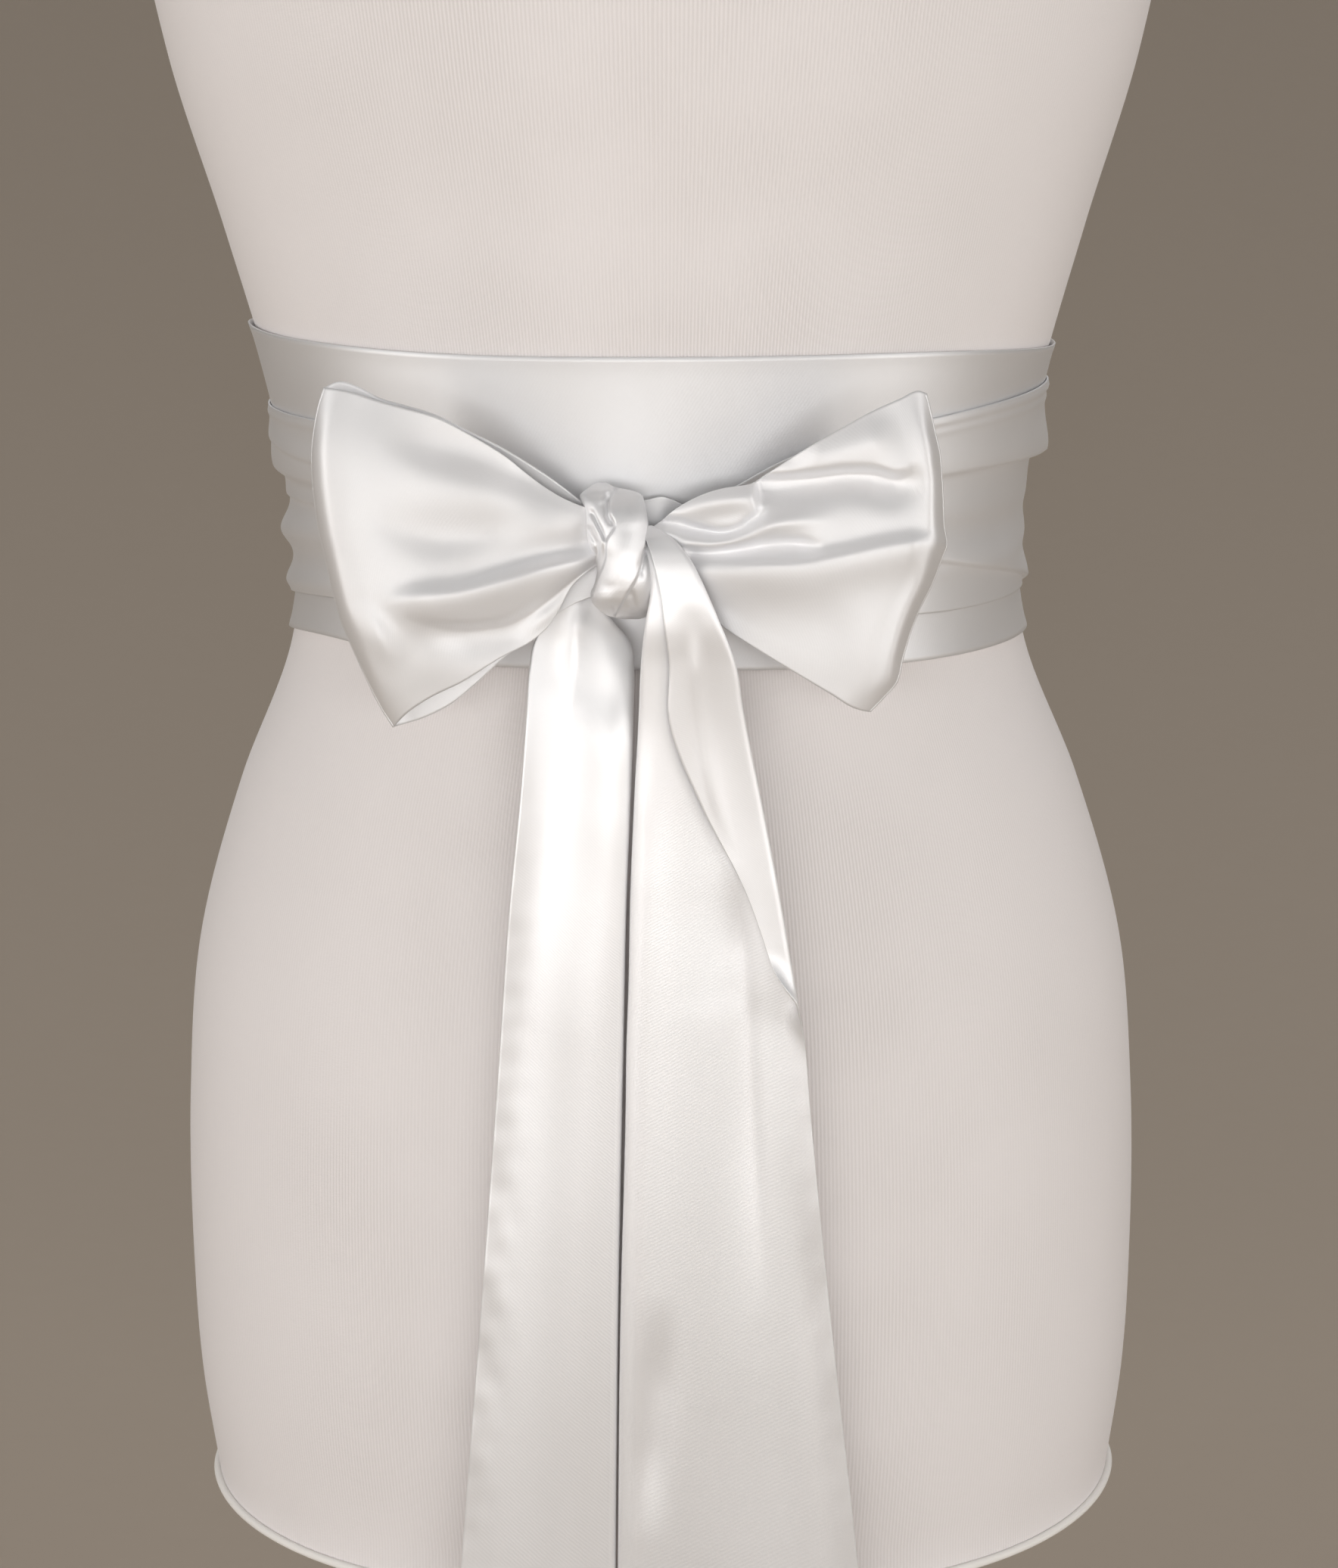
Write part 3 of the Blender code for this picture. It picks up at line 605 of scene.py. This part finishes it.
loopLeft = {
    "top": [(-103.3, 546.4), (-99.7, 545.9), (-93.9, 544.6), (-86.2, 542.0), (-77.6, 539.6), (-70.4, 537.6),
            (-57.7, 531.2), (-46.9, 524.4), (-40.6, 519.2), (-34.2, 514.3), (-28.8, 511.0), (-20.0, 507.6), (-16.5, 506.6)],
    "bottom": [(-83.5, 438.7), (-80.5, 442.0), (-71.3, 448.4), (-62.1, 452.8), (-49.6, 460.5), (-38.1, 466.9),
               (-34.5, 470.2), (-31.7, 474.3), (-25.3, 484.9), (-18.5, 490.0), (-15.0, 491.6)],
    "backTop": [(-103.3, 546.4), (-98.6, 548.3), (-93.5, 547.0), (-86.2, 543.2), (-77.6, 540.6), (-70.4, 538.4),
                (-57.7, 532.2), (-46.9, 526.6), (-40.6, 522.7), (-34.2, 518.5), (-28.8, 514.5), (-20.0, 508.0),
                (-16.5, 506.6)],
    "backBottom": [(-83.5, 438.7), (-73.2, 441.9), (-65.8, 445.6), (-58.4, 451.4), (-49.6, 459.4),
                   (-40.0, 467.4), (-31.7, 474.2), (-25.3, 478.0), (-18.5, 480.8), (-15.0, 482.6)],
    "fold": [(-83.5, 438.7), (-86.9, 444.2), (-91.4, 453.5), (-95.8, 463.7), (-99.4, 472.9), (-102.0, 483.1),
             (-104.1, 493.2), (-105.8, 501.4), (-107.0, 510.6), (-107.6, 519.7), (-107.5, 527.0),
             (-106.7, 533.3), (-105.2, 540.6), (-103.3, 546.4)],
    "shape": rowsOf(
        "share foldDepth swellFront swellBack",
        (0.00, -128, 5, 4),
        (0.14, -131, 8, 7),
        (0.31, -131.5, 11, 9),
        (0.50, -130, 12, 10),
        (0.68, -128.5, 12, 10),
        (0.84, -127, 10, 9),
        (1.00, -124.5, 5, 4),
    ),
    "rootDepth": -115.5,
    "ridge": 0.5,
    "creases": [
        {"line": [(-88.0, 534.0), (-77.8, 531.0), (-70.5, 528.6), (-61.5, 525.4), (-52.4, 522.4),
                  (-42.6, 517.8), (-34.0, 512.6), (-24.0, 508.2)],
         "rise": -4.4, "widths": (9, 6.5), "fade": (0.4, 0.35)},
        {"line": [(-97.3, 512.0), (-84.4, 504.6), (-70.8, 500.0), (-57.1, 499.5), (-43.4, 500.8),
                  (-29.8, 501.5)], "rise": -3.2, "widths": (10, 7), "fade": (0.5, 0.3)},
        {"line": [(-18.6, 494.8), (-34.3, 493.4), (-43.5, 491.2), (-52.6, 488.6), (-61.8, 485.6),
                  (-72.8, 482.6)], "rise": -3.0, "widths": (2.4, 5.5), "fade": (0.0, 0.6)},
        {"line": [(-18.6, 492.2), (-34.4, 488.4), (-47.2, 484.6), (-61.8, 481.0), (-75.5, 479.4),
                  (-81.9, 478.0), (-88.0, 475.6)], "rise": 4.8, "widths": (8.0, 4.0), "fade": (0.0, 0.25)},
        {"line": [(-18.3, 490.6), (-27.1, 484.4), (-34.4, 478.6), (-41.8, 473.4), (-47.3, 471.0),
                  (-52.8, 470.0), (-61.9, 469.4), (-72.9, 471.2), (-82.0, 474.0)],
         "rise": -6.2, "widths": (8.0, 2.0), "fade": (0.0, 0.35)},
        {"line": [(-91.0, 480.5), (-91.0, 473.9), (-88.2, 467.9), (-83.6, 462.8), (-77.6, 458.1)],
         "rise": 1.8, "widths": (4.5, 6.0), "fade": (0.5, 0.5)},
        {"line": [(-22.0, 486.0), (-29.0, 479.0), (-36.0, 473.0), (-46.0, 466.0)],
         "rise": 2.2, "widths": (2.6, 2.6), "fade": (0.0, 0.5)},
    ],
}
loopRight = {
    "top": [(84.9, 543.4), (82.6, 544.2), (77.2, 542.0), (68.2, 537.9), (59.1, 532.9), (46.5, 525.7),
            (36.5, 519.3), (30.2, 515.4), (21.1, 513.8), (16.5, 512.5), (10.2, 509.7), (3.8, 505.6),
            (-1.2, 501.5), (-5.0, 499.5)],
    "bottom": [(67.6, 442.7), (63.0, 443.8), (55.2, 448.5), (42.3, 456.4), (32.2, 462.8), (23.0, 468.9),
               (18.9, 472.1), (4.7, 480.4), (-1.2, 484.0), (-5.0, 486.5)],
    "fold": [(67.6, 442.7), (72.6, 448.0), (75.8, 451.7), (78.0, 460.1), (79.8, 466.5), (83.3, 475.8),
             (86.9, 483.1), (90.4, 492.2), (91.5, 495.1), (90.8, 501.5), (90.4, 509.7), (90.0, 517.0),
             (89.2, 525.2), (87.7, 531.6), (86.3, 537.9), (84.9, 543.4)],
    "shape": rowsOf(
        "share foldDepth swellFront swellBack",
        (0.00, -128, 5, 4),
        (0.14, -130, 7, 7),
        (0.31, -130, 9, 9),
        (0.50, -129, 10, 10),
        (0.68, -127.5, 9, 10),
        (0.84, -126, 8, 9),
        (1.00, -123, 5, 4),
    ),
    "rootDepth": -113.5,
    "ridge": 1.3,
    "creases": [
        {"line": [(-1.2, 503.4), (3.8, 505.2), (10.2, 507.9), (21.1, 510.4), (32.0, 510.8), (39.3, 508.8)],
         "rise": 3.6, "widths": (4.0, 4.0), "fade": (0.0, 0.35)},
        {"line": [(-1.2, 503.0), (4.7, 503.4), (13.8, 501.0), (21.1, 499.9), (26.6, 501.3), (32.0, 505.2),
                  (36.6, 509.7)], "rise": -4.8, "widths": (1.6, 2.6), "fade": (0.0, 0.25)},
        {"line": [(-1.2, 499.6), (2.9, 500.0), (10.2, 497.3), (17.5, 496.3), (25.7, 498.7), (36.6, 502.4),
                  (46.6, 503.8), (59.4, 504.2)], "rise": 4.2, "widths": (3.6, 3.0), "fade": (0.0, 0.5)},
        {"line": [(6.5, 494.4), (15.0, 493.8), (23.0, 494.4), (36.6, 496.3), (46.7, 496.3), (54.0, 494.7)],
         "rise": -4.6, "widths": (1.8, 3.6), "fade": (0.1, 0.25)},
        {"line": [(-1.2, 495.0), (6.5, 492.6), (13.8, 490.6), (23.0, 489.4), (33.9, 489.1), (46.7, 489.7),
                  (59.4, 492.0), (73.1, 494.9), (81.3, 496.0), (91.3, 495.6)],
         "rise": 4.0, "widths": (3.0, 9.0), "fade": (0.0, 0.12)},
        {"line": [(30.2, 515.6), (41.1, 516.1), (50.2, 517.0), (59.3, 518.2), (68.3, 518.0), (75.6, 516.4),
                  (80.2, 517.9), (82.8, 523.4)], "rise": -8.5, "widths": (1.8, 7.0), "fade": (0.05, 0.3)},
        {"line": [(42.0, 521.5), (54.0, 525.5), (68.0, 529.0), (78.0, 531.5)],
         "rise": 2.4, "widths": (7, 6), "fade": (0.3, 0.3)},
        {"line": [(12.0, 478.0), (30.0, 474.0), (50.0, 470.0), (68.0, 468.0)],
         "rise": -1.4, "widths": (9, 9), "fade": (0.3, 0.3)},
    ],
}


def bowLoop(loop, columns, rows):
    # The cloth leaves the knot as the back layer, turns at the outer fold and comes back as the front layer.
    # Each layer fills its four edges: the blend between top and bottom, plus the blend between fold and
    # knot, less the blend of the four corners. The share from the fold to the knot is the square of the
    # place along the cloth, and the depth swells in proportion to that place, so that the fold is round.
    # A low ridge follows the fold: a bell across the place along the cloth.
    along, across = np.meshgrid(np.linspace(-1, 1, columns), np.linspace(0, 1, rows))
    inward = np.abs(along) ** 2
    shape = {name: smoothThrough(loop["shape"]["share"], loop["shape"][name], across) for name in loop["shape"]}
    fold = alongLine(loop["fold"], across)

    def fillEdges(topLine, bottomLine):
        top, bottom = alongLine(topLine, inward), alongLine(bottomLine, inward)
        s, v = inward[..., None], across[..., None]
        rootLow, rootHigh = np.array(bottomLine[-1]), np.array(topLine[-1])
        foldLow, foldHigh = np.array(loop["fold"][0]), np.array(loop["fold"][-1])
        corners = (1 - s) * ((1 - v) * foldLow + v * foldHigh) + s * ((1 - v) * rootLow + v * rootHigh)
        root = (1 - v) * rootLow + v * rootHigh
        return (1 - v) * bottom + v * top + (1 - s) * fold + s * root - corners

    front = fillEdges(loop["top"], loop["bottom"])
    back = fillEdges(loop.get("backTop", loop["top"]), loop.get("backBottom", loop["bottom"]))
    flat = np.where(along[..., None] > 0, front, back)
    middle = loop["rootDepth"] + (shape["foldDepth"] - loop["rootDepth"]) * (1 - inward)
    swell = np.where(along > 0, shape["swellFront"], shape["swellBack"])
    thick = 2.0 * swell * np.abs(along) * (1e-9 + 1 - inward) ** 0.8 + 1.8 * ease(np.abs(along), 0, 0.35)
    thick += loop["ridge"] * np.exp(-((np.abs(along) - 0.20) / 0.07) ** 2) * ease(across, 0, 0.2) * ease(-across, -1, -0.85)
    relief = creaseField(flat[..., 0], flat[..., 1], loop["creases"]) * ease(along, 0.08, 0.34)
    raised = thick + relief
    least = 0.9
    raised = 0.5 * (raised + least + np.sqrt((raised - least) ** 2 + 2.0 * ease(along, 0.1, 0.4)))
    y = middle - np.sign(along) * np.where(along > 0, raised, thick)
    return slideToDepth(flat[..., 0], flat[..., 1], y)


for name, node, loop, cut in (("bowLoopLeft", "bow_loop_left", loopLeft, 0.20),
                              ("bowLoopRight", "bow_loop_right", loopRight, 0.19)):
    piece = putInScene(name, bowLoop(loop, 250, 124), (cut * 1000, sashWidth), satin,
                       replaced=[node], wall=clothThickness)


# Knot

knot = {
    # the knot's outline as seen from the front: its left and right end at each height, and how far it
    # stands out there before and behind its middle
    "rows": rowsOf(
        "height left right depth",
        (472.7, -10.0, -5.6, 6.0),
        (473.4, -13.6, -3.2, 9.6),
        (475.2, -17.2, -1.5, 13.8),
        (478.0, -20.0, -0.1, 16.6),
        (481.0, -20.6, 1.0, 17.7),
        (484.0, -19.4, 1.3, 18.0),
        (488.0, -18.6, 0.9, 17.7),
        (492.0, -19.0, 0.0, 17.2),
        (496.0, -21.0, -1.3, 16.6),
        (500.0, -21.9, -2.1, 15.9),
        (504.0, -22.0, -2.3, 14.8),
        (507.5, -22.2, -2.9, 12.9),
        (510.5, -23.4, -3.6, 10.1),
        (512.4, -23.5, -4.6, 8.0),
        (513.6, -22.2, -7.4, 7.0),
        (514.6, -20.8, -12.4, 5.4),
        (515.6, -19.4, -14.4, 3.4),
        (516.2, -17.8, -15.6, 1.4),
    ),
    "middle": -115.2,
    # the broad strip over the middle lies between these two lines, drawn from the bottom to the top
    "stripLeft": [(-23.0, 474.0), (-20.4, 479.8), (-18.3, 485.6), (-16.0, 491.1), (-15.2, 498.0),
                  (-12.8, 502.5), (-14.4, 506.7), (-14.2, 510.3), (-12.5, 513.7), (-11.5, 518.0)],
    "stripRight": [(-15.0, 470.0), (-12.8, 474.3), (-11.0, 477.3), (-8.3, 481.9), (-6.0, 486.0),
                   (-3.7, 493.8), (-2.4, 499.3), (-2.2, 503.5), (-2.4, 508.6), (-3.0, 518.0)],
    "creases": [
        # pleats of the bundle on the left
        {"line": [(-20.5, 508.6), (-18.7, 504.4), (-17.3, 501.2), (-15.5, 497.0)],
         "rise": -1.6, "widths": (0.7, 0.9), "fade": (0.25, 0.3)},
        {"line": [(-21.6, 503.0), (-20.1, 499.3), (-18.7, 497.0), (-18.2, 493.8), (-18.4, 490.0)],
         "rise": -1.5, "widths": (0.7, 0.8), "fade": (0.15, 0.3)},
        {"line": [(-20.1, 506.7), (-19.1, 503.0), (-17.3, 499.3), (-16.6, 492.9)],
         "rise": 1.1, "widths": (0.8, 0.8), "fade": (0.25, 0.35)},
        {"line": [(-17.0, 508.5), (-16.4, 512.6), (-14.4, 515.1)],
         "rise": 0.9, "widths": (1.3, 1.3), "fade": (0.4, 0.1)},
        {"line": [(-14.3, 512.6), (-15.0, 508.6), (-14.6, 505.0), (-13.0, 502.4)],
         "rise": -1.3, "widths": (0.8, 0.9), "fade": (0.2, 0.2)},
        # the broad strip: its full middle, its flat lower left and the pinch at its foot
        {"line": [(-8.2, 503.2), (-9.2, 496.2), (-11.0, 489.3), (-14.7, 481.4)],
         "rise": 0.7, "widths": (3.6, 3.6), "fade": (0.4, 0.4)},
        {"line": [(-18.6, 483.9), (-15.6, 482.6), (-12.8, 480.6)],
         "rise": -0.4, "widths": (2.6, 2.6), "fade": (0.4, 0.5)},
        {"line": [(-13.4, 478.2), (-13.0, 475.6), (-12.6, 473.4)],
         "rise": -0.9, "widths": (0.8, 0.8), "fade": (0.4, 0.1)},
        # the strip on the right: a V and a pleat below it
        {"line": [(-1.8, 497.5), (-3.5, 493.0), (-4.6, 488.8), (-3.4, 484.7)],
         "rise": -1.0, "widths": (0.8, 1.3), "fade": (0.4, 0.4)},
        {"line": [(-0.6, 495.7), (-0.9, 490.2), (-2.8, 484.2)],
         "rise": 0.5, "widths": (1.4, 1.6), "fade": (0.4, 0.5)},
        {"line": [(-7.8, 482.6), (-7.2, 479.1), (-6.6, 476.4), (-7.2, 473.1)],
         "rise": -0.8, "widths": (0.9, 1.4), "fade": (0.25, 0.5)},
    ],
}


def knotBody(columns, rows):
    # Rings round the upright axis, drawn as they look from where the photographer stood: each runs from the
    # outline's left to its right end, with blunt sides. In front the surface is raised by the broad strip,
    # with a step down at each of its two edges, and by the fine creases beside it.
    turn, share = np.meshgrid(np.linspace(0, 2 * math.pi, columns, endpoint=False), np.linspace(0, 1, rows))
    table = knot["rows"]
    first, last = table["height"][0], table["height"][-1]
    z = first + (last - first) * (0.5 - 0.5 * np.cos(math.pi * share))
    left, right, depth = [smoothThrough(table["height"], table[name], z) for name in ("left", "right", "depth")]
    across, out = np.sin(turn), np.cos(turn)
    x = (left + right) / 2 + (right - left) / 2 * np.sign(across) * np.abs(across) ** 0.9
    bluntOut = np.sign(out) * np.abs(out) ** 0.72
    strip = stepAcross(x, z, knot["stripLeft"], 0.8) * (1 - stepAcross(x, z, knot["stripRight"], 0.7))
    relief = 2.0 * strip + creaseField(x, z, knot["creases"])
    y = knot["middle"] - (depth - 1.6) * bluntOut - relief * ease(out, 0.02, 0.45) * ease(depth, 1.0, 8.0)
    return slideToDepth(x, z, y)


piece = putInScene("bowKnot", knotBody(240, 170), (110, 40), satin,
                   replaced=["knot"], ring=True, capped=True, upright=True)


# Tails

foldRadius = 1.3
tailLeft = {
    "rows": rowsOf(
        "height left right depth turned hollow",
        (72, -72.6, -17.0, -128.0, 45.0, 0.0),
        (156, -66.6, -15.8, -128.5, 45.0, 0.0),
        (244, -58.8, -14.2, -129.0, 40.0, 1.0),
        (328, -51.8, -11.9, -127.0, 36.0, 2.0),
        (381, -47.5, -10.4, -125.3, 33.0, 3.0),
        (411, -44.2, -9.0, -123.4, 31.0, 4.0),
        (441, -41.6, -7.8, -119.6, 29.0, 5.0),
        (455, -40.6, -7.6, -116.0, 26.0, 4.5),
        (463, -39.0, -9.0, -114.0, 21.0, 3.0),
        (468, -36.0, -13.4, -112.8, 16.0, 1.6),
        (473, -31.0, -17.2, -111.6, 10.0, 0.8),
        (477.5, -28.0, -20.2, -110.6, 4.0, 0.4),
    ),
    "hand": -1,
    "creases": [
        {"line": [(-26.8, 474.0), (-27.2, 462.0), (-27.8, 450.0), (-29.0, 434.0)],
         "rise": 1.3, "widths": (1.3, 6.0), "fade": (0.5, 0.5)},
        {"line": [(-17.0, 464.0), (-16.5, 454.0), (-17.0, 442.0), (-18.5, 430.0)],
         "rise": -1.5, "widths": (7.0, 8.0), "fade": (0.5, 0.5)},
        {"line": [(-40.0, 420.0), (-44.0, 370.0), (-48.0, 310.0), (-54.0, 240.0), (-60.0, 170.0), (-66.0, 90.0)],
         "rise": -1.3, "widths": (6.0, 9.0), "fade": (0.3, 0.1)},
        {"line": [(-26.0, 400.0), (-27.0, 330.0), (-30.0, 250.0), (-32.0, 160.0), (-34.0, 80.0)],
         "rise": 1.6, "widths": (9.0, 9.0), "fade": (0.2, 0.1)},
    ],
    "puckers": {"side": "left", "depth": 0.34, "reach": 8.0, "pitch": 61.0},
}
tailRight = {
    "rows": rowsOf(
        "height left right depth turned hollow flap",
        (72, -15.6, 72.4, -127.5, 14.0, 1.0, 0.0),
        (156, -14.4, 64.6, -128.0, 20.0, 2.0, 0.0),
        (244, -12.8, 55.2, -128.5, 31.0, 2.5, 0.0),
        (312, -10.6, 48.8, -127.5, 38.0, 2.5, 0.0),
        (332, -10.2, 47.2, -127.0, 40.0, 2.5, 0.8),
        (352, -9.4, 43.8, -126.5, 40.0, 2.5, 3.4),
        (382, -8.6, 38.8, -125.5, 34.0, 2.5, 8.4),
        (411, -7.2, 33.4, -125.0, 28.0, 2.0, 17.4),
        (441, -5.4, 27.6, -126.0, 22.0, 1.5, 22.0),
        (457, -4.6, 25.0, -127.5, 16.0, 1.0, 19.0),
        (471, -3.0, 19.8, -129.3, 8.0, 0.5, 15.4),
        (479, -1.6, 16.5, -129.3, 4.0, 0.0, 13.0),
        (485, -1.4, 13.8, -128.6, 2.0, 0.0, 11.4),
        (490.5, -2.4, 10.9, -127.4, 0.8, 0.0, 9.8),
        (494.7, -3.4, 7.7, -125.6, 0.6, 0.0, 8.0),
        (498, -5.0, 3.8, -122.8, 0.6, 0.0, 5.8),
        (500.5, -7.4, -1.4, -118.4, 0.6, 0.0, 4.0),
    ),
    "hand": 1,
    "creases": [
        {"line": [(25.0, 392.0), (28.0, 350.0), (30.0, 300.0), (33.0, 240.0)],
         "rise": -1.6, "widths": (3.0, 8.0), "fade": (0.2, 0.5)},
        {"line": [(-4.0, 440.0), (-6.0, 380.0), (-8.0, 320.0), (-10.0, 240.0), (-11.0, 160.0), (-12.0, 90.0)],
         "rise": 1.2, "widths": (3.0, 4.0), "fade": (0.1, 0.1)},
        {"line": [(0.0, 250.0), (-1.0, 220.0), (-3.0, 190.0), (-4.0, 165.0)],
         "rise": -1.6, "widths": (5.0, 6.0), "fade": (0.4, 0.4)},
        {"line": [(45.0, 300.0), (50.0, 240.0), (56.0, 170.0), (60.0, 90.0)],
         "rise": -1.6, "widths": (8.0, 6.0), "fade": (0.3, 0.1)},
        {"line": [(12.0, 470.0), (14.0, 440.0), (18.0, 415.0), (24.0, 395.0)],
         "rise": 1.0, "widths": (2.0, 2.0), "fade": (0.2, 0.4)},
    ],
    "puckers": {"side": "right", "depth": 0.15, "reach": 6.0, "pitch": 53.0},
}


def hangingTail(tail, rows, counts):
    # Across each height the cloth is walked along in short steps: behind, where it is turned under, round a
    # half turn, along the part that shows, and round again into a flap in front where the table gives one.
    # The depth adds a shallow wave, the same for every layer, the creases, and puckers along the sewn edge.
    table, hand = tail["rows"], tail["hand"]
    # the rows lie closer together towards the top, by the power 1.5 of the share from there
    low, high = table["height"][0], table["height"][-1]
    heights = high - (high - low) * np.linspace(1, 0, rows) ** 1.5
    at = {name: smoothThrough(table["height"], table[name], heights)[:, None] for name in table}
    roundLength = math.pi * foldRadius
    width = at["right"] - at["left"]
    flap = at.get("flap", 0 * width)
    turnsOver = math.pi * ease(flap, 0.4, 5.0)
    walk = [
        (at["turned"], math.pi, math.pi, counts[0]),
        (roundLength + 0 * width, math.pi, 0.0, counts[1]),
        (width - 2 * foldRadius, 0.0, 0.0, counts[2]),
    ]
    if "flap" in table:
        walk.append((roundLength + 0 * width, 0.0, turnsOver, counts[1]))
        walk.append((flap + 0.6, turnsOver, turnsOver, counts[3]))
    stepsX, stepsOut = [0 * width], [0 * width]
    for length, start, end, count in walk:
        share = (np.arange(count)[None, :] + 0.5) / count
        heading = start + (end - start) * share
        stepsX.append(length / count * np.cos(heading))
        stepsOut.append(length / count * np.sin(heading))
    x = np.cumsum(np.concatenate(stepsX, axis=1), axis=1)
    out = np.cumsum(np.concatenate(stepsOut, axis=1), axis=1) - 2 * foldRadius
    low, high = x.min(axis=1, keepdims=True), x.max(axis=1, keepdims=True)
    across = (x - low) / (high - low)
    wave = at["hollow"] * np.sin(2 * math.pi * across + 0.5)
    side = at["left"] if hand > 0 else at["right"]
    x = side + hand * width * across
    z = heights[:, None] + 0 * x
    relief = creaseField(x, z, tail["creases"])
    pucker = tail["puckers"]
    edge = at["left"] if pucker["side"] == "left" else at["right"]
    near = np.exp(-(np.abs(x - edge) / pucker["reach"]) ** 2)
    slanting = z + 1.6 * np.abs(x - edge)
    beat = np.sin(2 * math.pi * slanting / pucker["pitch"]) ** 3 * (1 + 0.6 * np.sin(z / 31))
    beat += 0.12 * np.sin(z / 1.7 + 1)
    relief += pucker["depth"] * near * beat * ease(-z, -440, -330)
    return np.stack([x, at["depth"] - out - wave - relief, z], axis=-1)


piece = putInScene("tailLeft", hangingTail(tailLeft, 240, (26, 8, 50, 0)), (100, 405), satin,
                   replaced=["tail_left"], wall=clothThickness, upright=True)
piece = putInScene("tailRight", hangingTail(tailRight, 240, (20, 8, 50, 26)), (100, 425), satin,
                   replaced=["tail_right"], wall=clothThickness, upright=True)
print("cloth built")


# Floor, light and camera

studio = {
    "floorColour": (0.50, 0.42, 0.34),
    "world": (1.0, 0.995, 0.99),
    # the surroundings' strength level with the eye and below, and overhead
    "worldStrength": (0.49, 0.27),
    # each light: where it stands, what it looks at, its side lengths, its power and its colour
    "lights": [
        ("key", (-0.1, -3.2, 0.44), (0, 0, 0.50), (4.6, 0.8), 86, (1.0, 0.998, 0.996)),
        ("left", (-2.6, -1.5, 1.0), (0, 0, 0.50), (1.5, 1.5), 25, (1.0, 0.99, 0.98)),
        ("right", (2.5, -1.6, 0.9), (0, 0, 0.50), (1.5, 1.5), 25, (1.0, 0.99, 0.98)),
    ],
    "rear": ((0.3, 2.2, 1.9), 0.55, 1.0),
}


def aimAt(thing, target):
    # turns a light so that it looks at a point
    away = np.array(target) - np.array(thing.location)
    flatLength = math.hypot(away[0], away[1])
    thing.rotation_euler = (math.pi / 2 + math.atan2(away[2], flatLength), 0, math.atan2(away[1], away[0]) - math.pi / 2)


def studioBowl(flat, steepness, radii, columns):
    # a level round floor whose height then grows with the square of the distance past the level part
    radius = np.array(radii, dtype=float)[:, None]
    turn = np.linspace(0, 2 * math.pi, columns, endpoint=False)[None, :]
    height = steepness * np.clip(radius - flat, 0, None) ** 2
    return np.stack([radius * np.sin(turn), radius * np.cos(turn), height + 0 * turn], axis=-1)


bowl = studioBowl(0.9, 0.06, np.concatenate([[0.01, 0.5], np.linspace(0.9, 9.0, 40)]), 96)
cell = np.arange(len(bowl) * 96).reshape(len(bowl), 96)
across = np.roll(cell, -1, axis=1)
faces = np.stack([cell[:-1], across[:-1], across[1:], cell[1:]], axis=-1).reshape(-1, 4)[:, ::-1]
floorMesh = bpy.data.meshes.new("studioFloor")
floorMesh.from_pydata(bowl.reshape(-1, 3).tolist(), [], faces.tolist() + [tuple(range(96))[::-1]])
floorMesh.shade_smooth()
floorMesh.materials.append(grainedMaterial("paleFloor", studio["floorColour"], 0.85, 0.02, 0.0002))
floor = bpy.data.objects.new("studioFloor", floorMesh)
bpy.context.scene.collection.objects.link(floor)

for name, place, target, size, power, colour in studio["lights"]:
    data = bpy.data.lights.new(name, "AREA")
    data.shape = "RECTANGLE"
    data.size, data.size_y = size
    data.energy = power
    data.color = colour
    light = bpy.data.objects.new(name, data)
    light.location = place
    aimAt(light, target)
    bpy.context.scene.collection.objects.link(light)

# a wide weak sun from behind, so that the back isn't dull
data = bpy.data.lights.new("rear", "SUN")
place, data.energy, data.angle = studio["rear"]
rear = bpy.data.objects.new("rear", data)
rear.location = place
aimAt(rear, (0, 0, 0.5))
bpy.context.scene.collection.objects.link(rear)

world = bpy.data.worlds.new("studioWorld")
world.use_nodes = True
world.node_tree.nodes["Background"].inputs["Color"].default_value = (*studio["world"], 1)
direction = world.node_tree.nodes.new("ShaderNodeTexCoord")
upward = world.node_tree.nodes.new("ShaderNodeSeparateXYZ")
fall = world.node_tree.nodes.new("ShaderNodeMapRange")
fall.inputs["From Min"].default_value, fall.inputs["From Max"].default_value = 0.05, 0.65
fall.inputs["To Min"].default_value, fall.inputs["To Max"].default_value = studio["worldStrength"]
world.node_tree.links.new(direction.outputs["Generated"], upward.inputs[0])
world.node_tree.links.new(upward.outputs["Z"], fall.inputs["Value"])
world.node_tree.links.new(fall.outputs[0], world.node_tree.nodes["Background"].inputs["Strength"])
bpy.context.scene.world = world
bpy.context.scene.view_settings.view_transform = "Standard"

camera = bpy.data.objects.new("studioCamera", bpy.data.cameras.new("studioCamera"))
camera.data.lens = 95.5
camera.data.sensor_width = 36
camera.location = (0.0052, -1.43775, 0.6523)
camera.rotation_euler = (math.radians(90 - 10.12), math.radians(0.35), 0)
bpy.context.scene.collection.objects.link(camera)
bpy.context.scene.camera = camera

print("studio ready")
